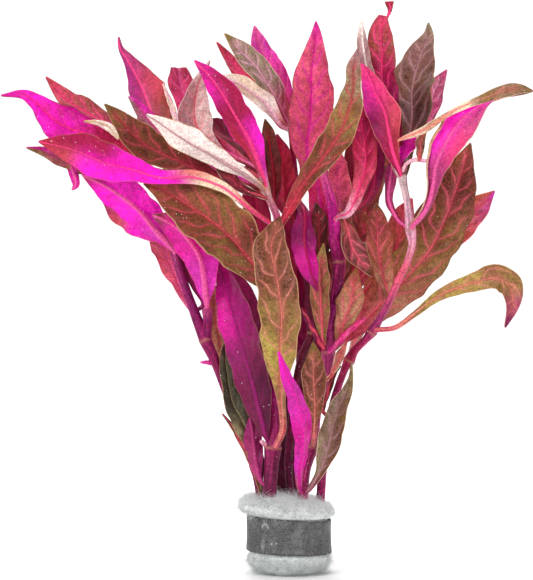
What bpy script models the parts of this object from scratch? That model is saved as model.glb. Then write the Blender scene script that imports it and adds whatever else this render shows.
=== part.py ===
"""A bunch of alternanthera reineckii, held in a wool plug with a weight strip bent round it.

Metres, +Z up. The origin is the centre of the plug's flat foot, and -Y is the front.
Lengths below are in millimetres. A row of a stem or a leaf gives where its centre line is seen
from the front: across, up, and how far it lies behind the plane through the axis, then its
radius (a stem) or its width (a leaf). Rows run from the base to the tip.
"""

import math
from dataclasses import dataclass

import bmesh
import bpy
from mathutils import Matrix, Vector

MM = 0.001
GAP = 0.3
WELD = 0.01 * MM

# The eye that the rows are seen from
EYE = Vector((-7.5, -650.0, 94.0))
TO_EYE = Vector((0.0, -1.0, 0.0))

# Wool plug, turned round the axis: radius and height from the top to the foot
PLUG_PROFILE = (
    (0.0, 25.6), (5.0, 25.5), (10.0, 25.0), (13.2, 23.8), (15.2, 21.8), (15.6, 20.2),
    (14.5, 19.9), (12.7, 19.3), (12.6, 8.0), (12.9, 6.2), (13.4, 4.4), (13.1, 2.2), (11.8, 0.6),
    (10.8, 0.0), (0.0, 0.0),
)
PLUG_STEPS = 24
PLUG_LEAN = -1.6
PLUG_LEAN_FROM = 17.0
HOLE_CLEARANCE = 0.35
HOLE_TOP = 27.0

# Weight strip, bent round the plug with its ends behind
BAND_RADIUS = 13.6
BAND_WALL = 0.8
BAND_TOP = 18.7
BAND_FOOT = 7.2
BAND_TOP_SLOPE = -0.07
BAND_FOOT_SLOPE = -0.035
BAND_HALF_TURN = math.radians(174)
BAND_STEPS = 30

STEM_STEP = 5.0
LEAF_SEGMENTS = 10
LEAF_WALL = 0.6
PETIOLE_CLEARANCE = 0.7
PETIOLE_WIDTH = 1.2
TIP_WIDTH = 0.5
TWIST_FROM = 0.55

# Colours, as linear red, green and blue
COLOURS = {
    "wool": (0.78, 0.80, 0.78),
    "strip": (0.09, 0.09, 0.10),
    "stem": (0.30, 0.01, 0.11),
    "magenta": (0.75, 0.01, 0.42),
    "pink": (0.70, 0.10, 0.24),
    "coral": (0.60, 0.07, 0.10),
    "purple": (0.19, 0.005, 0.15),
    "crimson": (0.28, 0.006, 0.06),
    "brown": (0.17, 0.05, 0.02),
    "olive": (0.28, 0.22, 0.05),
    "pale": (0.85, 0.68, 0.60),
}

UPPER = 0
UNDER = 180


@dataclass(frozen=True)
class Stem:
    """A stem: rows of across, up, behind and radius, with the branch that leaves it, if any."""

    name: str
    rows: tuple
    branch: tuple = ()


@dataclass(frozen=True)
class Leaf:
    """A leaf on a stem: its face to the front and roll in degrees, its fold along the midrib."""

    name: str
    stem: str
    colour: str
    face: int
    roll: float
    fold: float
    rows: tuple
    twist: float = 0.0


STEMS = (
    Stem("stem_left", (
        (-7.5, 6, -1, 1.6), (-9.3, 24.5, -0.5, 1.6), (-12.2, 38, 0, 1.5), (-14.6, 44.5, 0.3, 1.5),
        (-17.4, 51.5, 0, 1.6), (-21, 61, -1.5, 1.7), (-24.5, 70, -4.5, 1.7), (-28, 77.5, -6.5, 2.0),
        (-33, 90.5, -6, 1.5), (-38, 105.5, -4, 1.4),
        (-39.5, 115.5, 0, 1.3), (-40.5, 125.5, 3, 1.2), (-41, 135.5, 5, 1.0),
    ), branch=(
        (-27.5, 76.5, -6.5, 1.5), (-27.3, 81, -7.3, 1.5), (-27.2, 85, -8, 1.6), (-27.4, 88, -8.5, 1.9),
    )),
    Stem("stem_centre_left", (
        (-5, 6, -5, 2.1), (-6.5, 24, -5, 2.3), (-6, 35, -6, 2.4), (-5.5, 41.5, -6, 2.7),
        (-5, 47.5, -6, 2.0), (-5, 57.5, -5, 1.8), (-3.5, 75, -4, 1.6), (-2.5, 90.5, -4, 1.5),
        (-2.8, 105, -5, 1.4), (-4, 118, -6, 1.3), (-6.5, 124, -7.5, 1.2), (-8, 127.5, -8.5, 1.6),
        (-9, 135.5, -9, 1.1),
    )),
    Stem("stem_centre_thin", (
        (0.5, 6, 5, 1.3), (0.5, 24.5, 5, 1.3), (-0.2, 36, 5, 1.3), (0.5, 45.5, 5, 1.4),
        (2.5, 64, 6, 1.3), (4.5, 72.5, 6.5, 1.3), (7.5, 79.5, 7, 1.5), (6.5, 94, 8, 1.1),
        (3.5, 110.5, 8.5, 1.1), (2.5, 124, 9, 1.3), (1.5, 137.5, 9, 1.0), (0.5, 147.5, 8, 0.9),
    )),
    Stem("stem_centre_right", (
        (4, 6, -3, 1.7), (4.5, 24, -3, 1.8), (5.5, 34, -3, 1.7), (7.5, 41.5, -2, 2.0),
        (9.5, 54, 0, 1.4), (12.5, 65.5, 2, 1.2), (13, 73, 3, 2.2), (14, 84, 3, 2.2),
        (15.5, 90.5, 3, 2.1), (16.5, 99, 3, 2.0), (16.5, 103.5, 3, 2.2), (15.5, 110.5, 2, 1.9),
        (15, 117.5, 2, 1.9), (14, 124, 1, 1.7), (12, 130.5, 0, 1.4), (11, 135.5, 0, 1.2),
    )),
    Stem("stem_right", (
        (8.5, 6, 2, 1.4), (10.5, 25, 2, 1.5), (11, 32.5, 3, 1.5), (13.5, 50.5, 4, 1.4),
        (15.5, 59, 5, 1.3), (18.5, 67.5, 5, 1.3), (20, 70.5, 5, 1.8), (22, 74, 4, 1.4),
        (25.5, 77.5, 3, 1.3), (27.5, 80, 2, 1.7), (30, 84, 0, 1.3), (33.5, 90.5, -2, 1.2),
        (36.5, 97.5, -4, 1.2), (39, 102.5, -5, 1.2), (41, 109, -6, 1.3), (40.5, 114, -6, 1.7),
        (39.5, 122.5, -6, 1.2), (38.5, 127.5, -5, 1.2), (37.5, 132.5, -5, 1.6),
    )),
)

LEAVES = (
    # Left side
    Leaf("leaf_left_outermost", "stem_left", "coral", UPPER, -20, 12, (
        (-43, 136.5, 3, 1.8), (-46.5, 138, 0, 2.4), (-56.5, 141.5, -6, 8), (-68, 146, -12, 12.5),
        (-75.5, 149, -14, 13), (-80.5, 152.7, -15.5, 9.5), (-84, 156.3, -16.5, 6),
        (-88.5, 159, -17.5, 3.6), (-96, 158.8, -20, 0.6),
    )),
    Leaf("leaf_left_upper_red", "stem_left", "coral", UPPER, -25, 12, (
        (-42.5, 138, 6, 1.8), (-56.5, 144, 8, 5), (-63, 150.5, 13, 7), (-73, 156.5, 17, 7),
        (-81, 165, 19, 0.6),
    )),
    Leaf("leaf_left_hot_pink", "stem_centre_left", "magenta", UNDER, 15, 10, (
        (-5.5, 115, -8, 1.6), (-13, 121, -18, 1.8), (-21.5, 128, -23, 3.5), (-31.5, 131.5, -25, 5),
        (-42, 131.5, -26, 4.5), (-47, 132.5, -26, 6), (-53, 134.5, -26, 9),
        (-61.5, 136.5, -27, 13.5), (-69.5, 140, -28, 12), (-76.5, 142, -29, 7), (-83.5, 143.5, -29, 0.6),
    )),
    Leaf("leaf_left_pink_underside", "stem_left", "pink", UNDER, 18, 12, (
        (-38.5, 107.5, -6, 1.8), (-44.5, 114, -9, 8), (-49.5, 120, -12, 12), (-55.5, 125, -15, 12),
        (-62.5, 129.5, -18, 8), (-69, 132.5, -21, 0.6),
    )),
    Leaf("leaf_left_low_round", "stem_left", "purple", UNDER, 25, 10, (
        (-40, 112, 1.5, 1.6), (-45.5, 113, 5, 6), (-51.5, 117, 9, 9.5), (-57, 120.5, 13, 9.5),
        (-62.5, 124.5, 16, 0.6),
    )),
    Leaf("leaf_left_hanging", "stem_left", "pink", UPPER, -20, 12, (
        (-33, 88, -4, 1.8), (-36.5, 95.5, 0, 5), (-40, 103.5, 5, 7.5), (-43.5, 110, 10, 6),
        (-46, 115.5, 14, 0.6),
    )),
    Leaf("leaf_left_small_tip", "stem_left", "magenta", UPPER, -10, 10, (
        (-43, 133.5, 2, 1.6), (-56.5, 134.5, -8, 5), (-68, 135.5, -17, 6), (-76.5, 138, -22, 5.5),
        (-81.5, 140, -24, 3.5), (-87.5, 141.5, -26, 0.6),
    )),
    Leaf("leaf_left_tall_purple", "stem_left", "purple", UNDER, 25, 12, (
        (-41, 138, 7, 2), (-43.5, 145, 10, 12), (-45.5, 152.5, 14, 13.5), (-48, 159.5, 19, 12.5),
        (-50.8, 165.5, 23, 8), (-53.6, 170.5, 26, 4.4), (-56, 174.3, 28, 1.9), (-56.8, 178.3, 30, 0.6),
    )),
    Leaf("leaf_left_sliver", "stem_centre_left", "magenta", UPPER, -15, 10, (
        (-10.5, 128.5, -7, 1.6), (-21.5, 132.5, -6, 3), (-33, 138, -5, 5), (-43, 146.5, -5, 5.5),
        (-49, 153.5, -6, 4.5), (-53.5, 158.5, -8, 0.6),
    )),
    Leaf("leaf_white_underside", "stem_centre_left", "pale", UNDER, 20, 12, (
        (-9.5, 128, -12, 1.6), (-13, 131.5, -16, 2.5), (-19, 135, -20, 4.5), (-26.5, 139.5, -23, 7.5),
        (-33, 143, -24.5, 9), (-38.5, 146.5, -25, 7.5), (-43.5, 150, -25.5, 4),
        (-47.5, 152.5, -26, 0.6),
    )),
    Leaf("leaf_left_brown", "stem_centre_left", "brown", UPPER, -15, 12, (
        (-10.5, 126.5, -8, 1.6), (-18, 128.5, -10, 3), (-26.5, 131.5, -11.5, 6),
        (-34.5, 136, -12, 9), (-41.5, 139, -12.5, 10), (-48, 142.5, -12.5, 11),
        (-53.5, 147.5, -13, 9), (-58, 152.5, -13.5, 4.5), (-61.5, 156, -14, 0.6),
    )),
    Leaf("leaf_big_brown", "stem_centre_left", "brown", UPPER, -12, 14, (
        (-5.5, 94.5, -8, 2), (-8.5, 98.5, -11, 8), (-13, 104, -14, 13.5), (-20.5, 112.5, -18, 18.5),
        (-28, 118.5, -20, 19), (-35.5, 123.5, -20, 14.5), (-42.5, 127.5, -20, 8),
        (-48.5, 129.5, -20, 0.6),
    )),
    Leaf("leaf_magenta_cup", "stem_left", "magenta", UNDER, 10, 16, (
        (-27.5, 90, -10, 2.2), (-28, 94, -12, 6), (-28.5, 99, -13, 9), (-30, 105.5, -14, 12),
        (-36, 113.5, -15, 11), (-41, 117, -15.5, 6), (-45.5, 119, -15.5, 0.6),
    )),
    Leaf("leaf_purple_front", "stem_centre_left", "purple", UNDER, 8, 12, (
        (-8.3, 44.5, -9, 1.8), (-8.8, 49.5, -9.5, 5.2), (-10.3, 55, -10, 9), (-12.5, 64, -10.5, 11.5),
        (-15.3, 74, -11, 12),
        (-18.5, 85.5, -10, 11.5), (-21, 95.5, -8, 7.5), (-24, 104.5, -6, 0.6),
    )),
    Leaf("leaf_purple_back", "stem_centre_left", "purple", UNDER, -15, 12, (
        (-6.5, 50, -3, 1.8), (-9.5, 62.5, -1, 8), (-12.5, 75.5, 2, 10), (-14, 87.5, 4, 10),
        (-17, 95.5, 6, 7), (-21.5, 103.5, 8, 0.6),
    )),
    Leaf("leaf_low_dark", "stem_left", "olive", UPPER, -20, 14, (
        (-9.6, 28, -3.2, 1.6), (-10.8, 36, -3.6, 4.5), (-12.9, 44, -4, 6.5), (-15.6, 50.5, -4.5, 7.2),
        (-18.6, 56, -5.3, 6.4), (-20, 62, -5.8, 5.4), (-20.8, 68, -6.2, 4.8), (-21.5, 73.5, -6.2, 3),
        (-21.2, 77, -6, 0.6),
    )),
    Leaf("leaf_low_small_purple", "stem_centre_left", "purple", UNDER, 0, 10, (
        (-9.9, 30, -6.8, 1.3), (-10.7, 34.5, -7, 3.6), (-11.7, 41.5, -7, 6.2), (-12.3, 47, -7.2, 5.2),
        (-13.2, 51.5, -7.4, 0.6),
    )),
    # Centre front
    Leaf("leaf_centre_front", "stem_centre_left", "brown", UPPER, 12, 18, (
        (-4, 42, -10, 2), (-2, 47.5, -15, 2.2), (-2.5, 57.5, -24, 2.8), (-3, 64.5, -28, 5.5),
        (-3, 73.5, -32, 11.5), (-2.5, 85.5, -34, 13.5), (-4, 97.5, -33, 13), (-6, 107.5, -30, 11.5),
        (-4.5, 114, -27, 6), (-3, 118.5, -25, 0.6),
    )),
    Leaf("leaf_low_magenta", "stem_centre_right", "magenta", UNDER, -20, 14, (
        (2.5, 28, -7, 1.8), (3.5, 34, -14, 3), (4.5, 40.5, -22, 5), (4.5, 49, -30, 6.3),
        (2.5, 57.5, -36, 5.8), (-0.5, 64.5, -40, 4), (-3.5, 73.5, -43, 0.6),
    )),
    Leaf("leaf_low_centre_pink", "stem_centre_right", "pink", UPPER, 0, 12, (
        (8.5, 43, -6.5, 1.7), (8.4, 48.5, -12, 2.2), (8.6, 56, -14.5, 5.5), (8.2, 65, -17, 8.3),
        (8.4, 71, -18.5, 5.6), (8, 76.5, -19, 0.6),
    )),
    Leaf("leaf_low_right_brown", "stem_centre_right", "brown", UPPER, 12, 14, (
        (7.5, 27.5, -5, 1.8), (10.2, 33, -7, 3), (12.2, 38.5, -8, 6), (13.8, 44.5, -8.2, 7.8),
        (15.2, 50, -8.5, 7.6), (17, 55.5, -8.8, 5.8), (19.2, 60, -8.3, 3.8), (20.6, 64.5, -7.6, 1.8),
        (20.9, 69.5, -7, 0.6),
    )),
    # Top, left of the centre
    Leaf("leaf_top_magenta", "stem_centre_left", "magenta", UNDER, 20, 15, (
        (-7.5, 129.5, -12, 1.8), (-9.5, 134.5, -16, 3.5), (-12.5, 142.5, -22, 7.5),
        (-17.5, 151.5, -28, 10), (-22.5, 160, -32, 8.5), (-27, 166, -34, 5), (-31.5, 170.5, -36, 0.6),
    )),
    Leaf("leaf_top_white_curl", "stem_centre_thin", "pale", UNDER, 25, 14, (
        (0, 147, 4, 1.6), (-3, 149.5, -3, 2.6), (-8, 156.5, -11, 5.5), (-13, 160.5, -16, 5.5),
        (-18, 163.5, -20, 4.5), (-24.5, 165.5, -23, 0.6),
    )),
    Leaf("leaf_top_olive", "stem_centre_thin", "olive", UPPER, -18, 12, (
        (-0.5, 149.5, 5, 1.8), (-3, 155.5, 0, 5.5), (-7, 162.5, -4, 8), (-11.5, 169, -8, 8),
        (-16.5, 174, -11, 6), (-21.5, 179.5, -14, 0.6),
    )),
    Leaf("leaf_top_pink", "stem_centre_thin", "pink", UPPER, -20, 14, (
        (1.5, 150.5, 7, 1.8), (-0.5, 159, 8, 4.5), (-4.5, 165.5, 11, 7), (-8.5, 172.5, 14, 7),
        (-10.5, 177.5, 16, 4.5), (-11.5, 182, 18, 0.6),
    )),
    Leaf("leaf_top_red", "stem_centre_thin", "coral", UPPER, -25, 12, (
        (0, 149, 11, 1.6), (-6.5, 154.5, 15, 4), (-13, 162.5, 20, 6), (-18, 168.5, 24, 5),
        (-24, 176.5, 28, 0.6),
    )),
    Leaf("leaf_torn_brown", "stem_centre_left", "brown", UPPER, 0, 10, (
        (-10.5, 124, -11, 1.4), (-16.5, 128.5, -14.5, 3.5), (-21, 133, -17, 4.5),
        (-24.5, 136.5, -18.5, 2),
    )),
    Leaf("leaf_top_grey_pink", "stem_centre_left", "pink", UPPER, -15, 12, (
        (-10.5, 131.5, -6.5, 1.5), (-19.5, 136, -2, 3.5), (-28, 143.5, 0, 7), (-31.5, 151.5, -1, 11.5),
        (-31, 159, -4, 7.5), (-29.5, 164.5, -7, 4), (-26.5, 170.5, -9, 0.6),
    )),
    Leaf("leaf_top_broken", "stem_centre_left", "coral", UPPER, -25, 10, (
        (-10.5, 134, -7.5, 1.4), (-20, 140, 3, 4), (-31, 147.5, 9, 6.5), (-33.5, 154.5, 12, 7.5),
        (-36, 162.5, 15, 9), (-37, 168, 17, 5),
    )),
    Leaf("leaf_back_crimson", "stem_centre_left", "crimson", UNDER, 20, 12, (
        (-10, 138.5, -6.5, 1.6), (-14.5, 142, 3, 8), (-20.5, 144.5, 10, 10.5), (-25.5, 147.5, 15, 8.5),
        (-29.5, 151, 18, 0.6),
    )),
    Leaf("leaf_back_dark_strip", "stem_centre_left", "crimson", UPPER, -10, 12, (
        (-5, 122, -4, 1.6), (-5, 131, -3, 5), (-6, 139, -3, 5.5), (-7, 146, -4.5, 4.5),
        (-8, 151, -5, 0.6),
    )),
    # Top centre
    Leaf("leaf_centre_crimson", "stem_centre_thin", "crimson", UPPER, 15, 12, (
        (1.5, 116, 5, 1.6), (-1.2, 123, 5, 6.5), (-1.8, 131, 5, 8.5), (-2.5, 139, 5, 7),
        (-4, 146, 5, 0.6),
    )),
    Leaf("leaf_top_coral", "stem_centre_thin", "coral", UPPER, -12, 12, (
        (4, 128, 5, 2), (6, 135, 1, 5), (6, 142.5, -2, 11), (7, 150.5, -4, 15),
        (7.5, 159, -6, 14.5), (7.5, 166.5, -7.5, 11.5), (8.5, 174, -8.5, 7), (9, 179.5, -9, 3.5),
        (9, 183.5, -9, 0.6),
    )),
    Leaf("leaf_diagonal_brown", "stem_centre_left", "brown", UPPER, 15, 14, (
        (-2, 115.5, -9, 1.8), (0.5, 121.5, -13, 3.5), (4.5, 129, -15.5, 5.5),
        (11, 137.5, -17.5, 8), (17, 146.5, -18.5, 10), (20, 154, -18.5, 9.5),
        (21.5, 162.5, -17, 5), (21.5, 168, -15.5, 4.5), (23, 174.5, -14, 0.6),
    )),
    Leaf("leaf_hanging_purple", "stem_centre_thin", "purple", UNDER, 20, 12, (
        (4.5, 124, 5, 1.6), (5.2, 118.5, -1, 5), (5, 110.5, -3.5, 8), (6.5, 102.5, -5, 7),
        (9.5, 93.5, -6, 0.6),
    )),
    Leaf("leaf_centre_olive", "stem_centre_right", "olive", UPPER, 15, 12, (
        (11, 77, 0, 1.6), (11, 84, -1.5, 4.5), (10.5, 91, -2.5, 6.5), (10.5, 100.5, -2, 5.5),
        (11.5, 109.5, -1, 0.6),
    )),
    Leaf("leaf_back_purple", "stem_centre_right", "purple", UNDER, 20, 12, (
        (14, 108, 6, 1.8), (11, 115.5, 11, 7), (10.5, 124, 15, 8.5), (9.5, 132.5, 19, 7.5),
        (10.5, 140.5, 22, 0.6),
    )),
    Leaf("leaf_back_salmon", "stem_centre_right", "pink", UPPER, -20, 12, (
        (18, 107, 6, 1.8), (17.5, 115.5, 8, 6), (16.5, 125.5, 10, 7.5), (16, 135.5, 12, 6.5),
        (14.5, 144, 14, 0.6),
    )),
    Leaf("leaf_hanging_dark", "stem_centre_right", "brown", UPPER, 20, 12, (
        (17.5, 121, 4, 1.6), (19.5, 114.5, 1, 4), (21, 108.5, -2, 8), (24, 103.5, -5, 6),
        (27.5, 98.5, -8, 0.6),
    )),
    # Right side
    Leaf("leaf_right_tall_pink", "stem_right", "pink", UNDER, -15, 12, (
        (36.5, 134, -8, 1.8), (34.5, 140, -11, 5), (33, 147.5, -13, 9.5), (31.5, 154, -14.5, 11),
        (28.5, 160, -16, 9), (26.5, 165, -17.5, 5), (24, 169.5, -20, 0.6),
    )),
    Leaf("leaf_right_inner_coral", "stem_centre_right", "coral", UPPER, 15, 12, (
        (16.5, 118, -1.5, 1.6), (20, 120, -5, 3), (23.5, 128, -7, 5), (25.5, 135.5, -8, 7),
        (25, 144.5, -9, 8), (23.5, 152.5, -10, 5), (23, 158, -10.5, 0.6),
    )),
    Leaf("leaf_top_right_tall", "stem_right", "coral", UPPER, 15, 12, (
        (37.5, 136.5, -4.5, 1.6), (35, 147.5, -4, 6), (32.5, 157.5, -6, 8.5), (31, 165.5, -8, 9.5),
        (31, 173.5, -9, 9), (30.5, 180, -10, 7.5), (31.5, 185.5, -11, 3),
    )),
    Leaf("leaf_top_right_pale", "stem_right", "pale", UNDER, -20, 10, (
        (34.5, 134.5, -5.5, 1.4), (31.5, 147, -8.5, 2.5), (27.5, 160, -10, 4), (25.5, 169, -11, 5),
        (24.5, 176.5, -11.5, 4), (24, 184, -12, 0.6),
    )),
    Leaf("leaf_right_tall_brown", "stem_right", "brown", UPPER, 25, 12, (
        (40.5, 135, -4, 1.6), (40, 144, 2, 6.5), (41, 152.5, 6, 13), (41, 160.5, 11, 14.5),
        (42.5, 167.5, 15, 12), (44.5, 174, 18, 8), (46.5, 179, 20, 3.5), (46.5, 183, 22, 0.6),
    )),
    Leaf("leaf_right_twisted", "stem_right", "magenta", UNDER, -10, 14, (
        (41.5, 115.5, -9, 1.8), (44, 118.5, -11, 2.2), (46.5, 123, -13, 3.2), (48, 129, -14, 5),
        (49, 135.5, -15, 8.5), (52, 142.5, -16, 12), (56.5, 149.5, -16.5, 12.5),
        (62, 154, -16.5, 8.5), (68.5, 158.2, -15.5, 5.6), (75, 160.6, -15, 5.2), (81, 160.2, -14.5, 0.6),
    ), twist=400),
    Leaf("leaf_right_narrow_purple", "stem_right", "purple", UNDER, 20, 10, (
        (37.5, 115.5, -3.5, 1.6), (36, 118, -2.5, 1.6), (33.5, 123, -2, 2.2), (33.5, 129, -2.5, 3.6),
        (34.5, 135.5, -1.5, 3.4), (35.5, 140.5, 0, 0.6),
    )),
    Leaf("leaf_right_drooping", "stem_right", "olive", UPPER, 20, 12, (
        (30, 80, -1.5, 1.6), (35.5, 81.5, -5, 1.6), (42, 86, -9, 2), (50, 92, -12, 3.5),
        (57, 95, -13, 5), (63.5, 97, -13, 7), (69.5, 98, -13, 9), (73.5, 95, -12.5, 8),
        (74.5, 89.5, -12, 5), (72, 81.5, -12, 0.6),
    )),
    Leaf("leaf_right_big_brown", "stem_centre_right", "brown", UPPER, 20, 12, (
        (15, 74.5, 6, 1.8), (18.5, 77.5, 9, 3), (25, 83.5, 12, 8), (32.5, 91, 15, 13),
        (40, 99, 17, 16), (47, 107.5, 18, 17), (51.5, 116.5, 18, 17), (55.5, 127, 17, 14.5),
        (58.5, 136.5, 16, 7), (60.5, 143, 15, 0.6),
    )),
    Leaf("leaf_right_back_outer", "stem_centre_right", "brown", UPPER, 25, 12, (
        (15.5, 82, 6.5, 1.6), (22, 88, 16, 3), (32, 96, 24, 7), (44, 104, 29, 10),
        (54, 113, 32, 11.5), (62, 120.5, 34, 9), (68.5, 127, 36, 0.6),
    )),
    Leaf("leaf_right_back_inner", "stem_right", "brown", UPPER, 25, 12, (
        (20.5, 73, 8.5, 1.8), (23, 79, 18, 3.5), (27, 88.5, 28, 8), (32.5, 99, 35, 11),
        (36.5, 110.5, 39, 11), (38.5, 119, 42, 7), (41, 124.5, 44, 0.6),
    )),
    Leaf("leaf_right_orange", "stem_centre_right", "coral", UPPER, 15, 12, (
        (16.5, 75, 1.5, 1.6), (18, 82.5, 0, 5.5), (20.5, 89.5, 0, 9), (21.5, 95.5, 0, 6),
        (22.5, 101.5, 0, 0.6),
    )),
    Leaf("leaf_right_coral", "stem_right", "coral", UPPER, -20, 12, (
        (32.5, 92.5, 1.5, 1.8), (31, 100, 5, 7), (29.5, 109, 6, 9.5), (29.5, 116.5, 6, 7),
        (29, 123, 6, 0.6),
    )),
    Leaf("leaf_right_green", "stem_centre_right", "olive", UPPER, 25, 12, (
        (18, 102, 6.5, 1.8), (21, 109, 12, 4), (24.5, 116.5, 17, 7.5), (27, 127.5, 22, 9),
        (30.5, 136.5, 25, 7), (33, 144, 27, 0.6),
    )),
)


def clear_scene():
    """Removes every object that the startup scene holds."""
    for obj in list(bpy.data.objects):
        bpy.data.objects.remove(obj, do_unlink=True)


def new_collection(name):
    """Returns a new collection, linked to the scene."""
    collection = bpy.data.collections.new(name)
    bpy.context.scene.collection.children.link(collection)
    return collection


def material(name, colour, roughness=0.5, metallic=0.0):
    """Returns the named material, made on its first use."""
    made = bpy.data.materials.get(name)
    if made is None:
        made = bpy.data.materials.new(name)
        made.use_nodes = True
        shader = made.node_tree.nodes["Principled BSDF"]
        shader.inputs["Base Color"].default_value = (*COLOURS[colour], 1.0)
        shader.inputs["Roughness"].default_value = roughness
        shader.inputs["Metallic"].default_value = metallic
    return made


def sighted(row):
    """Returns the point and the size of a row, moved along its line of sight to its depth."""
    across, up, behind, size = row
    reach = 1.0 + behind / -EYE.y
    seen = Vector((across, 0.0, up))
    return EYE + (seen - EYE) * reach, size * reach


def smooth_line(rows, count):
    """Returns count + 1 points and sizes, evenly spaced on a smooth line through the rows."""
    knots = [sighted(row) for row in rows]
    places = [0.0]
    for (here, _), (there, _) in zip(knots, knots[1:]):
        places.append(places[-1] + (there - here).length)
    slopes = []
    for index in range(len(knots)):
        low, high = max(index - 1, 0), min(index + 1, len(knots) - 1)
        span = places[high] - places[low]
        slopes.append((
            (knots[high][0] - knots[low][0]) / span,
            (knots[high][1] - knots[low][1]) / span,
        ))
    line = []
    for step in range(count + 1):
        place = places[-1] * step / count
        index = max(i for i in range(len(knots) - 1) if places[i] <= place or i == 0)
        span = places[index + 1] - places[index]
        part = (place - places[index]) / span
        start = 2 * part**3 - 3 * part**2 + 1
        leave = (part**3 - 2 * part**2 + part) * span
        end = 1 - start
        arrive = (part**3 - part**2) * span
        values = [
            knots[index][i] * start + slopes[index][i] * leave
            + knots[index + 1][i] * end + slopes[index + 1][i] * arrive
            for i in (0, 1)
        ]
        line.append((values[0], max(values[1], TIP_WIDTH)))
    return line


def stem_line(rows):
    """Returns the points and radii along a stem, one each STEM_STEP or so."""
    length = sum((sighted(b)[0] - sighted(a)[0]).length for a, b in zip(rows, rows[1:]))
    return smooth_line(rows, round(length / STEM_STEP))


def tube(name, line, collection, clearance=0.0):
    """Returns a closed mesh object: a round tube along a line of points and radii."""
    curve = bpy.data.curves.new(name, "CURVE")
    curve.dimensions = "3D"
    curve.bevel_depth = MM
    curve.bevel_resolution = 1
    curve.use_fill_caps = True
    spline = curve.splines.new("POLY")
    spline.points.add(len(line) - 1)
    for point, (centre, radius) in zip(spline.points, line):
        point.co = (*(centre * MM), 1.0)
        point.radius = radius + clearance
    drawn = bpy.data.objects.new(name + "_curve", curve)
    bpy.context.scene.collection.objects.link(drawn)
    graph = bpy.context.evaluated_depsgraph_get()
    mesh = bpy.data.meshes.new_from_object(drawn.evaluated_get(graph))
    bpy.data.objects.remove(drawn)
    shape = bmesh.new()
    shape.from_mesh(mesh)
    bmesh.ops.remove_doubles(shape, verts=shape.verts, dist=WELD)
    bmesh.ops.recalc_face_normals(shape, faces=shape.faces)
    shape.to_mesh(mesh)
    shape.free()
    mesh.name = name
    made = bpy.data.objects.new(name, mesh)
    collection.objects.link(made)
    return made


def as_cutter(obj):
    """Hides a helper from renders and draws it as wire."""
    obj.hide_render = True
    obj.display_type = "WIRE"
    return obj


def boolean(obj, other, operation):
    """Adds an exact Boolean of another object."""
    modifier = obj.modifiers.new(operation.title(), "BOOLEAN")
    modifier.operation = operation
    modifier.solver = "EXACT"
    modifier.object = other


def make_stem(stem, parts, cutters):
    """Makes a stem, with its branch joined to it."""
    made = tube(stem.name, stem_line(stem.rows), parts)
    made.data.materials.append(material("stem", "stem", 0.4))
    if stem.branch:
        branch = as_cutter(tube(stem.name + "_branch", stem_line(stem.branch), cutters))
        boolean(made, branch, "UNION")


def off_stem(base, line):
    """Returns the base of a leaf, moved to just off the surface of its stem."""
    centre, radius = min(line, key=lambda point: (point[0] - base).length)
    return centre + (base - centre).normalized() * (radius + PETIOLE_CLEARANCE)


def leaf_frame(tangent, roll):
    """Returns the directions across a leaf and out of its upper side."""
    across = tangent.cross(TO_EYE).normalized()
    out = across.cross(tangent)
    turn = Matrix.Rotation(-roll, 3, tangent)
    return turn @ across, turn @ out


def make_leaf(leaf, stem_lines, parts):
    """Makes a leaf: a grid folded along its midrib and given a wall."""
    line = smooth_line(leaf.rows, LEAF_SEGMENTS)
    stem = stem_lines[leaf.stem]
    line[0] = (off_stem(line[0][0], stem), PETIOLE_WIDTH)
    fold = math.radians(leaf.fold)
    half_seen = 2 * math.cos(fold) * math.cos(math.radians(leaf.roll))
    shape = bmesh.new()
    bmesh.ops.create_grid(shape, x_segments=2, y_segments=LEAF_SEGMENTS, size=1.0)
    for vert in shape.verts:
        side = vert.co.x
        index = round((vert.co.y + 1) / 2 * LEAF_SEGMENTS)
        middle, width = line[index]
        before, after = line[max(index - 1, 0)][0], line[min(index + 1, LEAF_SEGMENTS)][0]
        tangent = (after - before).normalized()
        roll = leaf.face + leaf.roll + leaf.twist * max(0.0, index / LEAF_SEGMENTS - TWIST_FROM)
        across, out = leaf_frame(tangent, math.radians(roll))
        reach = side * width / half_seen
        vert.co = (middle + across * reach * math.cos(fold) + out * abs(reach) * math.sin(fold)) * MM
    mesh = bpy.data.meshes.new(leaf.name)
    shape.to_mesh(mesh)
    shape.free()
    made = bpy.data.objects.new(leaf.name, mesh)
    parts.objects.link(made)
    mesh.materials.append(material("leaf_" + leaf.colour, leaf.colour, 0.45))
    wall = made.modifiers.new("Wall", "SOLIDIFY")
    wall.thickness = LEAF_WALL * MM
    wall.offset = 0.0


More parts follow.
